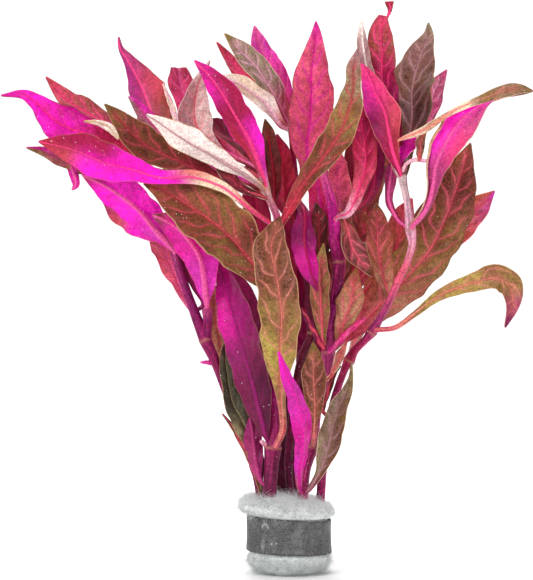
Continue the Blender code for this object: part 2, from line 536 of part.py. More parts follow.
def make_plug(stem_lines, parts, cutters):
    """Makes the wool plug: turned, leaning a little above the strip, with a hole for each stem."""
    shape = bmesh.new()
    verts = [shape.verts.new((radius * MM, 0.0, up * MM)) for radius, up in PLUG_PROFILE]
    edges = [shape.edges.new(pair) for pair in zip(verts, verts[1:])]
    bmesh.ops.spin(
        shape, geom=verts + edges, cent=(0, 0, 0), axis=(0, 0, 1), angle=2 * math.pi,
        steps=PLUG_STEPS, use_duplicate=False,
    )
    bmesh.ops.remove_doubles(shape, verts=shape.verts, dist=WELD)
    bmesh.ops.recalc_face_normals(shape, faces=shape.faces)
    for vert in shape.verts:
        above = max(0.0, vert.co.z / MM - PLUG_LEAN_FROM) / (PLUG_PROFILE[0][1] - PLUG_LEAN_FROM)
        if above:
            vert.co.z += BAND_TOP_SLOPE * vert.co.x
        vert.co.x += PLUG_LEAN * MM * above
    mesh = bpy.data.meshes.new("wool_plug")
    shape.to_mesh(mesh)
    shape.free()
    made = bpy.data.objects.new("wool_plug", mesh)
    parts.objects.link(made)
    mesh.materials.append(material("wool", "wool", 0.95))
    for name, line in stem_lines.items():
        held = sum(centre.z < HOLE_TOP for centre, _ in line) + 1
        foot = (line[0][0] - Vector((0, 0, GAP)), line[0][1])
        hole = tube(name + "_hole", [foot] + line[:held], cutters, clearance=HOLE_CLEARANCE)
        boolean(made, as_cutter(hole), "DIFFERENCE")


def make_band(parts):
    """Makes the weight strip: a band bent nearly all the way round the plug."""
    shape = bmesh.new()
    bmesh.ops.create_grid(shape, x_segments=BAND_STEPS, y_segments=1, size=1.0)
    for vert in shape.verts:
        turn = vert.co.x * BAND_HALF_TURN
        x, y = BAND_RADIUS * math.sin(turn), -BAND_RADIUS * math.cos(turn)
        if vert.co.y > 0:
            up = BAND_TOP + BAND_TOP_SLOPE * x
        else:
            up = BAND_FOOT + BAND_FOOT_SLOPE * x
        vert.co = (x * MM, y * MM, up * MM)
    mesh = bpy.data.meshes.new("weight_strip")
    shape.to_mesh(mesh)
    shape.free()
    made = bpy.data.objects.new("weight_strip", mesh)
    parts.objects.link(made)
    mesh.materials.append(material("weight_strip", "strip", 0.6, 0.6))
    wall = made.modifiers.new("Wall", "SOLIDIFY")
    wall.thickness = BAND_WALL * MM
    wall.offset = 0.0


def main():
    """Builds the plant and its holder."""
    clear_scene()
    parts = new_collection("alternanthera_reineckii")
    cutters = new_collection("cutters")
    stem_lines = {stem.name: stem_line(stem.rows) for stem in STEMS}
    make_plug(stem_lines, parts, cutters)
    make_band(parts)
    for stem in STEMS:
        make_stem(stem, parts, cutters)
        if stem.branch:
            stem_lines[stem.name] += stem_line(stem.branch)
    for leaf in LEAVES:
        make_leaf(leaf, stem_lines, parts)


main()
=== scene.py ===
"""The look of a bunch of alternanthera reineckii, held in a wool plug with a weight strip round it.

Lengths are in millimetres unless a name says otherwise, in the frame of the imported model: +Z up,
the front at -Y, the origin at the centre of the plug's foot. A row of a stem or a leaf gives where
its centre line is seen from the front: across, up, and how far it lies behind the plane through the
axis, then its radius (a stem) or its width (a leaf). Rows run from the base to the tip.
"""

import logging
import math
from dataclasses import dataclass
from enum import Enum
from typing import Any

import bmesh
import bpy
import numpy as np
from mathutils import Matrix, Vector, noise

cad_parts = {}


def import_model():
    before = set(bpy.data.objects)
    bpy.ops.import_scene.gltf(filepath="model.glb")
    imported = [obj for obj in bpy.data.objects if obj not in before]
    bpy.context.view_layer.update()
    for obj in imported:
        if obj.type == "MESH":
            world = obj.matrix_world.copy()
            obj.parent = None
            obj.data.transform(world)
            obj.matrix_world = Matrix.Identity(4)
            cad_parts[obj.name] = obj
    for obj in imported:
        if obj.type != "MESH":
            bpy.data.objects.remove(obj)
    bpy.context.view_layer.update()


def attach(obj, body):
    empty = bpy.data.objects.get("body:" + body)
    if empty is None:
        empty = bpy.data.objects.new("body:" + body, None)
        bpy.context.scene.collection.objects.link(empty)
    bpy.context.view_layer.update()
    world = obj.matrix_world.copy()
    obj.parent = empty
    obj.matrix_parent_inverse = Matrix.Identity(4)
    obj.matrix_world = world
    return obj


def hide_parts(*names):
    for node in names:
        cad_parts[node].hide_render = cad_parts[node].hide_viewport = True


LOG = logging.getLogger("bunch")
MM = 0.001
BODY = "root"

# The eye that the rows are seen from
EYE = np.array([-7.5, -650.0, 94.0])
TO_EYE = np.array([0.0, -1.0, 0.0])
# The photograph's long side, as a length at the axis
PHOTO_HEIGHT = 580 / 3
SENSOR = 36.0
# How much of the side veins' and net's strength the under side of a leaf shows
UNDER_VEINS = 0.35
# The share of a leaf's length at which its twist starts
TWIST_FROM = 0.55
# The share of the half width at which a curled margin starts to roll
ROLL_FROM = 0.55
# A leaf's least width, at its tip
LEAST_WIDTH = 0.35
# The widths between which a leaf's round stalk turns into its flat blade
STALK_TO_BLADE = (2.2, 4.5)
# How many specks the plant's skins have along a millimetre, at most
SPECKS_PER_MM = 0.5
# The weight strip's foot and top, and how both slope with x
STRIP_FOOT = 7.2
STRIP_TOP = 18.7
TOP_SLOPE = -0.07
FOOT_SLOPE = -0.035

Point = tuple[float, float, float]
Colour = tuple[float, float, float, float]
Rows = tuple[tuple[float, float, float, float], ...]
Faces = list[tuple[int, ...]]
Values = dict[str, np.ndarray]


class Tone(Enum):
    """The colours of the plant, as sRGB."""

    HOT_MAGENTA = (255, 8, 205)
    MAGENTA = (214, 12, 150)
    PINK = (222, 84, 148)
    PALE_PINK = (236, 176, 196)
    SALMON = (222, 128, 116)
    CORAL = (200, 66, 84)
    RED = (182, 34, 62)
    CRIMSON = (158, 4, 66)
    WINE = (98, 6, 38)
    VIOLET = (166, 42, 126)
    PLUM = (140, 12, 96)
    NIGHT = (84, 8, 52)
    BROWN = (106, 62, 26)
    RUST = (150, 70, 52)
    DARK_BROWN = (72, 36, 24)
    OLIVE = (138, 112, 52)
    GREEN = (168, 156, 64)
    GREY_OLIVE = (146, 132, 98)
    GREY_PINK = (176, 130, 134)
    TAN = (192, 150, 108)
    CREAM = (240, 214, 184)
    WHITE_PINK = (240, 222, 214)
    ORANGE = (204, 106, 70)
    YELLOW = (218, 168, 62)
    ORCHID = (214, 40, 176)
    DEEP_PINK = (242, 58, 128)
    ROSE = (234, 94, 118)
    BERRY = (140, 8, 80)
    DUSK = (118, 22, 70)
    MAUVE = (172, 52, 112)
    RED_BROWN = (120, 30, 30)
    OCHRE = (152, 92, 46)
    UMBER = (122, 78, 68)
    SLATE = (58, 54, 44)

    def linear(self) -> np.ndarray:
        """Returns the colour as linear red, green and blue from 0 to 1."""
        share = np.array(self.value) / 255.0
        return np.where(share <= 0.04045, share / 12.92, ((share + 0.055) / 1.055) ** 2.4)


class Side(Enum):
    """The side of a leaf that faces the front, as its turn about the midrib in degrees."""

    UPPER = 0
    UNDER = 180


Tones = tuple[Tone, ...]
T = Tone


def smooth_step(low: float, high: float, value: np.ndarray) -> np.ndarray:
    """Returns 0 below low, 1 above high and a smooth rise between."""
    share = np.clip((value - low) / (high - low), 0.0, 1.0)
    return share * share * (3 - 2 * share)


def along_tones(tones: Tones, shares: np.ndarray) -> np.ndarray:
    """Returns the colour at each share of the length, with the tones evenly spaced along it.

    Args:
        tones: The colours from the base to the tip.
        shares: Where along the length, from 0 to 1.

    Returns:
        One linear colour for each share.
    """
    stops = np.array([tone.linear() for tone in tones])
    if len(stops) == 1:
        return np.repeat(stops, len(shares), axis=0)
    place = shares * (len(stops) - 1)
    index = np.clip(place.astype(int), 0, len(stops) - 2)
    part = smooth_step(0.0, 1.0, place - index)[:, None]
    return stops[index] * (1 - part) + stops[index + 1] * part


@dataclass(frozen=True)
class Line:
    """A smooth line in space: its points, and its size at each of them."""

    points: np.ndarray
    sizes: np.ndarray

    @staticmethod
    def knots(rows: Rows) -> np.ndarray:
        """Returns rows of x, y, z and size, each moved along its line of sight to its depth."""
        table = np.array(rows, float)
        reach = 1 + table[:, 2] / -EYE[1]
        seen = np.stack([table[:, 0], np.zeros(len(table)), table[:, 1]], axis=1)
        return np.column_stack([EYE + (seen - EYE) * reach[:, None], table[:, 3] * reach])

    @classmethod
    def through(cls, knots: np.ndarray, count: int) -> "Line":
        """Returns a line of count + 1 evenly spaced points that passes through the knots.

        Args:
            knots: Rows of x, y, z and size.
            count: The number of steps along the line.

        Returns:
            The line.
        """
        places = np.append(0.0, np.cumsum(np.linalg.norm(np.diff(knots[:, :3], axis=0), axis=1)))
        low = np.maximum(np.arange(len(knots)) - 1, 0)
        high = np.minimum(np.arange(len(knots)) + 1, len(knots) - 1)
        slopes = (knots[high] - knots[low]) / (places[high] - places[low])[:, None]
        place = places[-1] * np.arange(count + 1) / count
        index = np.clip(np.searchsorted(places, place, side="right") - 1, 0, len(knots) - 2)
        span = (places[index + 1] - places[index])[:, None]
        part = (place - places[index])[:, None] / span
        start = 2 * part**3 - 3 * part**2 + 1
        leave = (part**3 - 2 * part**2 + part) * span
        arrive = (part**3 - part**2) * span
        made = (knots[index] * start + slopes[index] * leave
                + knots[index + 1] * (1 - start) + slopes[index + 1] * arrive)
        return cls(made[:, :3], made[:, 3])

    def tangents(self) -> np.ndarray:
        """Returns the direction of the line at each point."""
        run = np.gradient(self.points, axis=0)
        return run / np.linalg.norm(run, axis=1)[:, None]

    def places(self) -> np.ndarray:
        """Returns how far along the line each point is."""
        steps = np.linalg.norm(np.diff(self.points, axis=0), axis=1)
        return np.append(0.0, np.cumsum(steps))

    def frames(self, rolls: np.ndarray) -> tuple[np.ndarray, np.ndarray]:
        """Returns the directions across the line and out of it, turned about it.

        Args:
            rolls: The turn at each point, in radians.

        Returns:
            The directions across and the directions out.
        """
        tangents = self.tangents()
        across = np.cross(tangents, TO_EYE)
        across /= np.linalg.norm(across, axis=1)[:, None]
        out = np.cross(across, tangents)
        turn, lift = np.cos(rolls)[:, None], np.sin(rolls)[:, None]
        return across * turn + out * lift, out * turn - across * lift


def add_object(name: str, data: bpy.types.ID) -> bpy.types.Object:
    """Makes an object that shows a mesh, a light or a camera, and links it to the scene."""
    made = bpy.data.objects.new(name, data)
    bpy.context.scene.collection.objects.link(made)
    return made


def make_piece(
    name: str,
    points: np.ndarray,
    faces: Faces,
    finish: bpy.types.Material,
    values: Values | None = None,
    sharp: float = 60.0,
) -> bpy.types.Object:
    """Makes a mesh object from points in millimetres.

    Args:
        name: The piece's name.
        points: One row for each vertex.
        faces: The vertices of each face.
        finish: The material.
        values: What the material reads at each vertex: one number, a vector of three or, where the
            name ends in tone, a colour.
        sharp: The angle in degrees past which an edge is drawn sharp.

    Returns:
        The object, linked to the scene.
    """
    mesh = bpy.data.meshes.new(name)
    mesh.from_pydata((points * MM).tolist(), [], [tuple(face) for face in faces])
    mesh.materials.append(finish)
    for key, value in (values or {}).items():
        if key.endswith("tone"):
            layer = mesh.attributes.new(key, "FLOAT_COLOR", "POINT")
            layer.data.foreach_set("color", np.column_stack([value, np.ones(len(value))]).ravel())
        elif value.ndim == 2:
            layer = mesh.attributes.new(key, "FLOAT_VECTOR", "POINT")
            layer.data.foreach_set("vector", value.ravel())
        else:
            layer = mesh.attributes.new(key, "FLOAT", "POINT")
            layer.data.foreach_set("value", value)
    mesh.shade_smooth()
    mesh.set_sharp_from_angle(angle=math.radians(sharp))
    return add_object(name, mesh)


def grid_faces(rows: int, columns: int, closed: bool = False) -> Faces:
    """Returns the faces of a grid of vertices, row after row.

    Args:
        rows: The number of rows of vertices.
        columns: The number of vertices in a row.
        closed: Whether each row runs round to its own start.

    Returns:
        The faces.
    """
    faces = []
    for row in range(rows - 1):
        for column in range(columns if closed else columns - 1):
            here, there = row * columns + column, row * columns + (column + 1) % columns
            faces.append((here, there, there + columns, here + columns))
    return faces


def closed_faces(rows: int, columns: int) -> Faces:
    """Returns the faces of two sheets of vertices, joined all round their edges.

    Args:
        rows: The number of rows of vertices in a sheet.
        columns: The number of vertices in a row.

    Returns:
        The faces.
    """
    sheet = grid_faces(rows, columns)
    under = rows * columns
    faces = sheet + [tuple(corner + under for corner in reversed(face)) for face in sheet]
    last = (rows - 1) * columns
    loop = ([row * columns for row in range(rows)]
            + [last + column for column in range(1, columns)]
            + [row * columns + columns - 1 for row in range(rows - 2, -1, -1)]
            + list(range(columns - 2, 0, -1)))
    for here, there in zip(loop, loop[1:] + loop[:1]):
        faces.append((here, there, there + under, here + under))
    return faces


class Wire:
    """A value in a material, on which sums are written as on a number."""

    def __init__(self, bench: "Bench", socket: bpy.types.NodeSocket) -> None:
        """Keeps the socket that the value comes from."""
        self.bench = bench
        self.socket = socket

    def __add__(self, other: "Wire | float") -> "Wire":
        """Returns the sum."""
        return self.bench.maths("ADD", self, other)

    def __sub__(self, other: "Wire | float") -> "Wire":
        """Returns the difference."""
        return self.bench.maths("SUBTRACT", self, other)

    def __mul__(self, other: "Wire | float") -> "Wire":
        """Returns the product."""
        return self.bench.maths("MULTIPLY", self, other)

    def __truediv__(self, other: "Wire | float") -> "Wire":
        """Returns the quotient."""
        return self.bench.maths("DIVIDE", self, other)

    __radd__ = __add__


class Bench:
    """Makes the nodes of one material."""

    def __init__(self, name: str) -> None:
        """Starts a material with a Principled shader alone."""
        self.material = bpy.data.materials.new(name)
        self.material.use_nodes = True
        self.tree = self.material.node_tree
        self.shader = self.tree.nodes["Principled BSDF"]

    def node(
        self,
        kind: str,
        settings: dict[str, Any] | None = None,
        inputs: dict[str | int, Any] | None = None,
        output: str | int = 0,
    ) -> Wire:
        """Makes a node.

        Args:
            kind: The node's type, without ShaderNode.
            settings: The node's own properties, which are set first.
            inputs: A value or a wire for each of its sockets, by name or number.
            output: The socket that its value is taken from.

        Returns:
            The wire from its output.
        """
        made = self.tree.nodes.new("ShaderNode" + kind)
        for key, value in (settings or {}).items():
            setattr(made, key, value)
        self.feed(made, inputs or {})
        return Wire(self, made.outputs[output])

    def feed(self, node: bpy.types.Node, inputs: dict[str | int, Any]) -> None:
        """Sets or links a node's sockets."""
        for key, value in inputs.items():
            if isinstance(value, Wire):
                self.tree.links.new(value.socket, node.inputs[key])
            else:
                node.inputs[key].default_value = value

    def maths(self, operation: str, *terms: "Wire | float") -> Wire:
        """Returns a Math node's result."""
        return self.node("Math", {"operation": operation}, dict(enumerate(terms)))

    def attribute(self, name: str, output: str = "Fac") -> Wire:
        """Returns what the mesh holds under a name."""
        return self.node("Attribute", {"attribute_name": name}, output=output)

    def parts(self, name: str) -> tuple[Wire, Wire, Wire]:
        """Returns the three numbers of a vector that the mesh holds under a name."""
        split = self.node("SeparateXYZ", inputs={0: self.attribute(name, "Vector")})
        return tuple(Wire(self, socket) for socket in split.socket.node.outputs)

    def place(self) -> Wire:
        """Returns the place on the piece, in metres."""
        return self.node("TexCoord", output="Object")

    def ramp(
        self, value: Wire, low: Wire | float, high: Wire | float, start: float = 0.0,
        end: float = 1.0,
    ) -> Wire:
        """Returns a smooth change from start to end as the value goes from low to high."""
        inputs = {0: value, 1: low, 2: high, 3: start, 4: end}
        return self.node("MapRange", {"interpolation_type": "SMOOTHSTEP"}, inputs)

    def mix(self, share: Wire | float, first: Any, second: Any, kind: str = "MIX") -> Wire:
        """Returns a colour between two, or blended as kind says."""
        settings = {"data_type": "RGBA", "blend_type": kind}
        return self.node("Mix", settings, {0: share, 6: first, 7: second}, output=2)

    def noise(
        self, place: Wire, per_mm: float, detail: float = 2.0, distortion: float = 0.0,
    ) -> Wire:
        """Returns noise from 0 to 1 with so many swells a millimetre."""
        inputs = {"Vector": place, "Scale": per_mm / MM, "Detail": detail, "Distortion": distortion}
        return self.node("TexNoise", inputs=inputs)

    def streaks(self, *parts: Wire) -> Wire:
        """Returns noise that is drawn out as the parts of its place are scaled."""
        spot = self.node("CombineXYZ", inputs=dict(enumerate(parts)))
        return self.node("TexNoise", inputs={"Vector": spot, "Scale": 1.0, "Detail": 4.0})

    def veil(
        self, below: Any, above: Any, value: Wire, low: float, high: float, share: float,
        where: Wire | None = None,
    ) -> Wire:
        """Returns a colour with another laid over it where a value is high.

        Args:
            below: The colour beneath.
            above: The colour laid over it.
            value: What it follows.
            low: The value at which it starts.
            high: The value from which it is laid on in full.
            share: How much it then hides.
            where: What this is multiplied by, if it isn't the same all over.

        Returns:
            The colour.
        """
        cover = self.ramp(value, low, high, 0.0, share)
        return self.mix(cover if where is None else cover * where, below, above)

    def most(self, *values: Wire) -> Wire:
        """Returns the greatest of some values."""
        top = values[0]
        for value in values[1:]:
            top = self.maths("MAXIMUM", top, value)
        return top

    def specks(self, place: Wire, reach: float, strewn: Wire, low: float, high: float) -> Wire:
        """Returns where small pale specks lie.

        Args:
            place: The place on the piece.
            reach: How far a speck reaches, as a share of the distance between them.
            strewn: Noise that says where there are any.
            low: Its value below which there are none.
            high: Its value above which there are all.

        Returns:
            The specks, from 0 to 1.
        """
        inputs = {"Vector": place, "Scale": SPECKS_PER_MM / MM}
        cells = self.node("TexVoronoi", inputs=inputs, output="Distance")
        return self.ramp(cells, 0.05, reach, 1.0, 0.0) * self.ramp(strewn, low, high)

    def bump(self, height: Wire, strength: float, depth: float) -> Wire:
        """Returns the normal of a relief so many millimetres deep."""
        inputs = {"Strength": strength, "Distance": depth * MM, "Height": height}
        return self.node("Bump", inputs=inputs)

    def finish(
        self, colour: Any, roughness: Wire | float, normal: Wire | None = None, **fixed: Any,
    ) -> None:
        """Feeds the shader.

        Args:
            colour: The base colour.
            roughness: The roughness.
            normal: The normal, if it is bumped.
            **fixed: Sockets that are the same all over, with spaces in their names as underscores.
        """
        inputs = {"Base Color": colour, "Roughness": roughness}
        if normal is not None:
            inputs["Normal"] = normal
        self.feed(self.shader, inputs)
        self.feed(self.shader, {key.replace("_", " "): value for key, value in fixed.items()})


@dataclass(frozen=True)
class LeafSkin:
    """The finish of both sides of every leaf: veins, their halo, fine net, edge and specks.

    The mesh gives each vertex its colours and where it is on the blade.
    """

    vein_width: float = 1.05
    halo_width: float = 2.6
    glow_width: float = 2.4
    cell_per_mm: float = 0.6
    bend_per_mm: float = 0.6
    bend: float = 1.3
    deep: Colour = (0.42, 0.28, 0.26, 1.0)
    speck_tone: Colour = (0.85, 0.75, 0.82, 1.0)
    specular: float = 0.22

    def material(self) -> bpy.types.Material:
        """Returns the material."""
        bench = Bench("leaf_skin")
        place = bench.place()
        across, _, share = bench.parts("blade")
        phase, spacing, net = bench.parts("veins")
        rib, relief, shown = bench.parts("rib")
        patches = bench.noise(place, 0.14, 3)
        wander = bench.noise(place, 0.2, 2)
        mottle = bench.noise(place, 0.5, 4)
        grain = bench.noise(place, 2.4, 4)
        # Side veins: the distance in millimetres to the nearest whole phase
        phase = phase + (wander - 0.5) * 0.5
        apart = bench.maths("ABSOLUTE", bench.maths("FRACT", phase + 0.5) - 0.5) * spacing
        inner = bench.ramp(share, 0.5, 1.0, 1.0, 0.3) * shown
        side = bench.ramp(apart, 0.05, self.vein_width, 1.0, 0.0) * inner
        halo = bench.ramp(apart, 0.0, self.halo_width, 1.0, 0.0) * inner
        halo = halo * bench.ramp(mottle, 0.35, 0.6, 0.35, 1.1)
        # Midrib
        from_rib = bench.maths("ABSOLUTE", across)
        middle = bench.ramp(from_rib, rib * 0.5, rib * 1.4, 1.0, 0.0)
        glow = bench.ramp(from_rib, 0.0, self.glow_width, 1.0, 0.0) * shown
        # Net of fine veins between them
        swirl = bench.node(
            "TexNoise", inputs={"Vector": place, "Scale": self.bend_per_mm / MM}, output="Color")
        swirl = bench.node(
            "VectorMath", {"operation": "SCALE"}, {0: swirl, "Scale": self.bend * MM})
        bent = bench.node("VectorMath", {"operation": "ADD"}, {0: place, 1: swirl})
        cells = bench.node(
            "TexVoronoi", {"feature": "DISTANCE_TO_EDGE"},
            {"Vector": bent, "Scale": self.cell_per_mm / MM}, output="Distance")
        fine = bench.ramp(cells, 0.0, 0.22, 1.0, 0.0) * net
        fine = fine * bench.ramp(patches, 0.3, 0.6, 0.4, 1.0)
        # Colours
        tone = bench.attribute("body_tone", "Color")
        vein_tone = bench.attribute("vein_tone", "Color")
        edge_tone = bench.attribute("edge_tone", "Color")
        deep = bench.mix(1.0, tone, self.deep, "MULTIPLY")
        pale = bench.node("SeparateColor", inputs={"Color": tone}, output="Green")
        dusky = bench.ramp(pale, 0.3, 0.65, 1.0, 0.25) * bench.ramp(relief, -1.0, 1.0, 1.0, 0.5)
        warm = bench.ramp(bench.noise(place, 0.11, 2, 0.6), 0.52, 0.68, 0.0, 0.16) * dusky * shown
        body = bench.mix(warm, tone, vein_tone)
        body = bench.veil(body, deep, patches, 0.42, 0.62, 0.6, dusky)
        body = bench.veil(body, deep, mottle, 0.45, 0.64, 0.55, dusky)
        body = bench.veil(body, deep, grain, 0.46, 0.62, 0.4, dusky)
        veins = bench.most(side * 0.66, fine * 0.36, halo * 0.42, glow * 0.35, middle * 0.9)
        colour = bench.mix(veins, body, vein_tone)
        crumb = bench.noise(place, 1.5, 4)
        colour = bench.mix(1.0, colour, bench.node("CombineColor", inputs={
            0: bench.ramp(crumb, 0.3, 0.7, 0.76, 1.22), 1: bench.ramp(crumb, 0.3, 0.7, 0.7, 1.25),
            2: bench.ramp(crumb, 0.3, 0.7, 0.76, 1.2)}), "MULTIPLY")
        edge = bench.ramp(share + (patches - 0.5) * 0.08, 0.93, 1.0)
        colour = bench.mix(edge * 0.8, colour, edge_tone)
        speck = bench.specks(place, 0.09, bench.noise(place, 0.09, 1), 0.5, 0.54)
        colour = bench.mix(speck * 0.9, colour, self.speck_tone)
        # Relief: veins sunk into the upper side and raised on the under side
        height = (side * 0.8 + middle + fine * 0.35 + halo * 0.5) * relief
        height = height + grain * 0.2 + mottle * 0.9 + speck * 0.5
        rough = 0.36 + grain * 0.2 + patches * 0.1
        bench.finish(colour, rough, bench.bump(height, 0.6, 0.16), Specular_IOR_Level=self.specular)
        return bench.material


@dataclass(frozen=True)
class StemSkin:
    """The finish of the stems: lengthwise streaks over the colours that the mesh holds,
    which include a painted highlight down one side.
    """

    scar: Colour = (0.42, 0.16, 0.1, 1.0)
    deep: Colour = (0.34, 0.26, 0.34, 1.0)
    speck_tone: Colour = (0.85, 0.7, 0.8, 1.0)

    def material(self) -> bpy.types.Material:
        """Returns the material."""
        bench = Bench("stem_skin")
        place = bench.place()
        around, along, ring = bench.parts("stem")
        turn = around * math.tau
        streaks = bench.streaks(
            bench.maths("COSINE", turn) * 2.6, bench.maths("SINE", turn) * 2.6, along * 0.1)
        grain = bench.noise(place, 1.6, 3)
        tone = bench.attribute("body_tone", "Color")
        pale = bench.attribute("vein_tone", "Color")
        deep = bench.mix(1.0, tone, self.deep, "MULTIPLY")
        flecks = bench.noise(place, 1.1, 4)
        colour = bench.veil(tone, deep, streaks, 0.44, 0.62, 0.7)
        colour = bench.veil(colour, pale, streaks, 0.42, 0.3, 0.4)
        colour = bench.veil(colour, deep, flecks, 0.48, 0.62, 0.55)
        colour = bench.veil(colour, pale, flecks, 0.44, 0.34, 0.3)
        colour = bench.mix(ring * bench.ramp(grain, 0.3, 0.6, 0.3, 0.9), colour, self.scar)
        speck = bench.specks(place, 0.1, bench.noise(place, 0.1, 1), 0.45, 0.5)
        colour = bench.mix(speck * 0.85, colour, self.speck_tone)
        normal = bench.bump(streaks * 0.8 + grain * 0.4 + ring, 0.6, 0.18)
        bench.finish(colour, 0.36 + grain * 0.2, normal, Specular_IOR_Level=0.2)
        return bench.material


@dataclass(frozen=True)
class Wool:
    """The finish of white mineral wool: pale and dull, a little greyer with painted shade in its
    hollows and towards its foot, and flecked with painted glints.
    """

    name: str = "wool_white"
    light: Colour = (0.92, 0.94, 0.935, 1.0)
    shade: Colour = (0.4, 0.46, 0.445, 1.0)
    painted_glint: Colour = (1.0, 1.0, 1.0, 1.0)

    def material(self) -> bpy.types.Material:
        """Returns the material."""
        bench = Bench(self.name)
        place = bench.place()
        clumps = bench.noise(place, 0.3, 4, 0.8)
        threads = bench.noise(place, 3.0, 5, 2.0)
        grains = bench.noise(place, 1.3, 4)
        painted_glints = bench.noise(place, 2.0, 3)
        # Painted shade: grey laid over the white in noisy patches, for the shadows in the wool's
        # crevices
        colour = bench.veil(self.light, self.shade, clumps, 0.42, 0.75, 0.7)
        colour = bench.veil(colour, self.shade, threads, 0.48, 0.62, 0.8)
        colour = bench.veil(colour, self.shade, grains, 0.46, 0.6, 0.5)
        # Painted glints: small white spots
        colour = bench.veil(colour, self.painted_glint, painted_glints, 0.54, 0.62, 0.9)
        # Painted shade: the foot is a little darker
        tall = bench.node("SeparateXYZ", inputs={0: place}, output="Z") / MM
        colour = bench.mix(bench.ramp(tall, 2.0, 9.0, 0.3, 0.0), colour, self.shade)
        normal = bench.bump(threads + clumps * 0.6 + grains, 0.8, 0.3)
        bench.finish(colour, 0.95, normal, Specular_IOR_Level=0.15)
        return bench.material


@dataclass(frozen=True)
class WeightMetal:
    """The finish of the weight strip: dull grey metal with lengthwise rolling marks, scuff marks and
    painted highlights.
    """

    grey: Colour = (0.074, 0.074, 0.074, 1.0)
    dark: Colour = (0.03, 0.03, 0.03, 1.0)
    worn: Colour = (0.24, 0.24, 0.25, 1.0)
    highlight_and_scuff_tone: Colour = (0.5, 0.5, 0.51, 1.0)

    def material(self) -> bpy.types.Material:
        """Returns the material."""
        bench = Bench("weight_metal")
        place = bench.place()
        run, up, edge = bench.parts("strip")
        marks = bench.streaks(run * 0.06, up * 3.2)
        blotches = bench.noise(place, 0.22, 4)
        grain = bench.noise(place, 2.6, 3)
        colour = bench.veil(self.grey, self.worn, marks, 0.35, 0.7, 0.2)
        colour = bench.veil(colour, self.worn, blotches, 0.42, 0.7, 0.4)
        colour = bench.veil(colour, self.worn, grain, 0.45, 0.65, 0.4)
        colour = bench.mix(edge * bench.ramp(grain, 0.35, 0.6, 0.2, 0.9), colour, self.dark)
        colour = bench.veil(colour, self.dark, bench.noise(place, 1.2, 4), 0.5, 0.66, 0.5)
        # Painted highlights and scratches: a pale grey laid on an arch, a streak and two dots
        colour = bench.mix(self.scuffs_and_highlights(bench, run, up, grain), colour, self.highlight_and_scuff_tone)
        normal = bench.bump(marks * 0.6 + grain * 0.3 + blotches, 0.45, 0.12)
        rough = bench.ramp(blotches, 0.3, 0.7, 0.62, 0.48)
        bench.finish(colour, rough, normal, Metallic=0.55, Specular_IOR_Level=0.4)
        return bench.material

    @staticmethod
    def scuffs_and_highlights(bench: Bench, run: Wire, up: Wire, grain: Wire) -> Wire:
        """Returns where the strip is painted lighter: an arch near its top and a streak, each a scuff
        mark that is also a painted highlight, and two scratched dots.
        """
        def apart(x: float, z: float, wide: float, tall: float) -> Wire:
            """Returns the distance from a point, in shares of a half width and a half height."""
            flat, high = (run - x) / wide, (up - z) / tall
            return bench.maths("SQRT", flat * flat + high * high)

        arch = bench.maths("ABSOLUTE", apart(-8.2, 15.6, 1.3, 1.9) - 0.9)
        arch = bench.ramp(arch, 0.0, 0.45, 0.55, 0.0) * bench.ramp(up, 15.6, 16.2)
        streak = bench.ramp(apart(-9.0, 10.4, 1.3, 3.2), 0.1, 1.0, 0.5, 0.0)
        streak = streak * bench.ramp(grain, 0.4, 0.6, 0.4, 1.0)
        first = bench.ramp(apart(-5.8, 11.0, 0.3, 0.3), 0.6, 1.1, 1.0, 0.0)
        second = bench.ramp(apart(-4.2, 11.2, 0.26, 0.26), 0.6, 1.1, 0.9, 0.0)
        return bench.most(arch, streak, bench.most(first, second))


@dataclass(frozen=True)
class Paper:
    """The finish of the studio's floor and backdrop."""

    tone: Colour = (0.94, 0.94, 0.94, 1.0)

    def material(self) -> bpy.types.Material:
        """Returns the material."""
        bench = Bench("studio_paper")
        bench.finish(self.tone, 0.9, Specular_IOR_Level=0.1)
        return bench.material


@dataclass(frozen=True)
class Stem:
    """A stem: its rows, its branch's rows if it has one, and its colours.

    Tones run from the foot to the top. The rim colour is painted down its lit edge as a painted
    highlight, and also tints its pale streaks; the lit edge lies at lit, in degrees round from the
    right as seen from the front. Rings are the rows that are nodes.
    """

    name: str
    rows: Rows
    tones: Tones
    rim_light_and_streak_tone: Tone
    lit: float
    rings: tuple[int, ...]
    branch: Rows = ()
    step = 0.5

    def line(self, rows: Rows) -> Line:
        """Returns the smooth line through some of the stem's rows."""
        knots = Line.knots(rows)
        length = np.linalg.norm(np.diff(knots[:, :3], axis=0), axis=1).sum()
        return Line.through(knots, round(length / self.step))

    def lines(self) -> list[Line]:
        """Returns the stem's own line and its branch's."""
        return [self.line(rows) for rows in (self.rows, self.branch) if rows]


@dataclass(frozen=True)
class Look:
    """How a leaf is dressed.

    Front tones are those of the side that faces the front, from the base to the tip. Right tones
    are those of its right half, seen from the base, where that differs. Curls are how far the left
    and the right margin roll towards the front, in degrees. Wave is how far the margins swing in
    and out. Net, side veins and rib say how strongly each is drawn, and back is the other side.
    """

    front: Tones
    veins: Tone
    edge: Tone
    back: Tones = (Tone.MAGENTA,)
    right: Tones = ()
    net: float = 0.5
    wave: float = 1.0
    curls: tuple[float, float] = (0.0, 0.0)
    side_veins: float = 1.0
    rib: float = 1.0


@dataclass(frozen=True)
class Leaf:
    """A leaf: the stem it grows from, its slot, the side that faces the front, its rows and look.

    Roll turns it about its midrib, fold lifts both its halves and twist turns its tip, in degrees.
    """

    name: str
    stem: str
    slot: str
    side: Side
    roll: float
    fold: float
    rows: Rows
    look: Look
    twist: float = 0.0
    stands_for: bool = True


@dataclass(frozen=True)
class Sliver(Leaf):
    """A narrow part of a leaf, a strip, a bud or a tip that has no solid of its own."""

    stands_for: bool = False
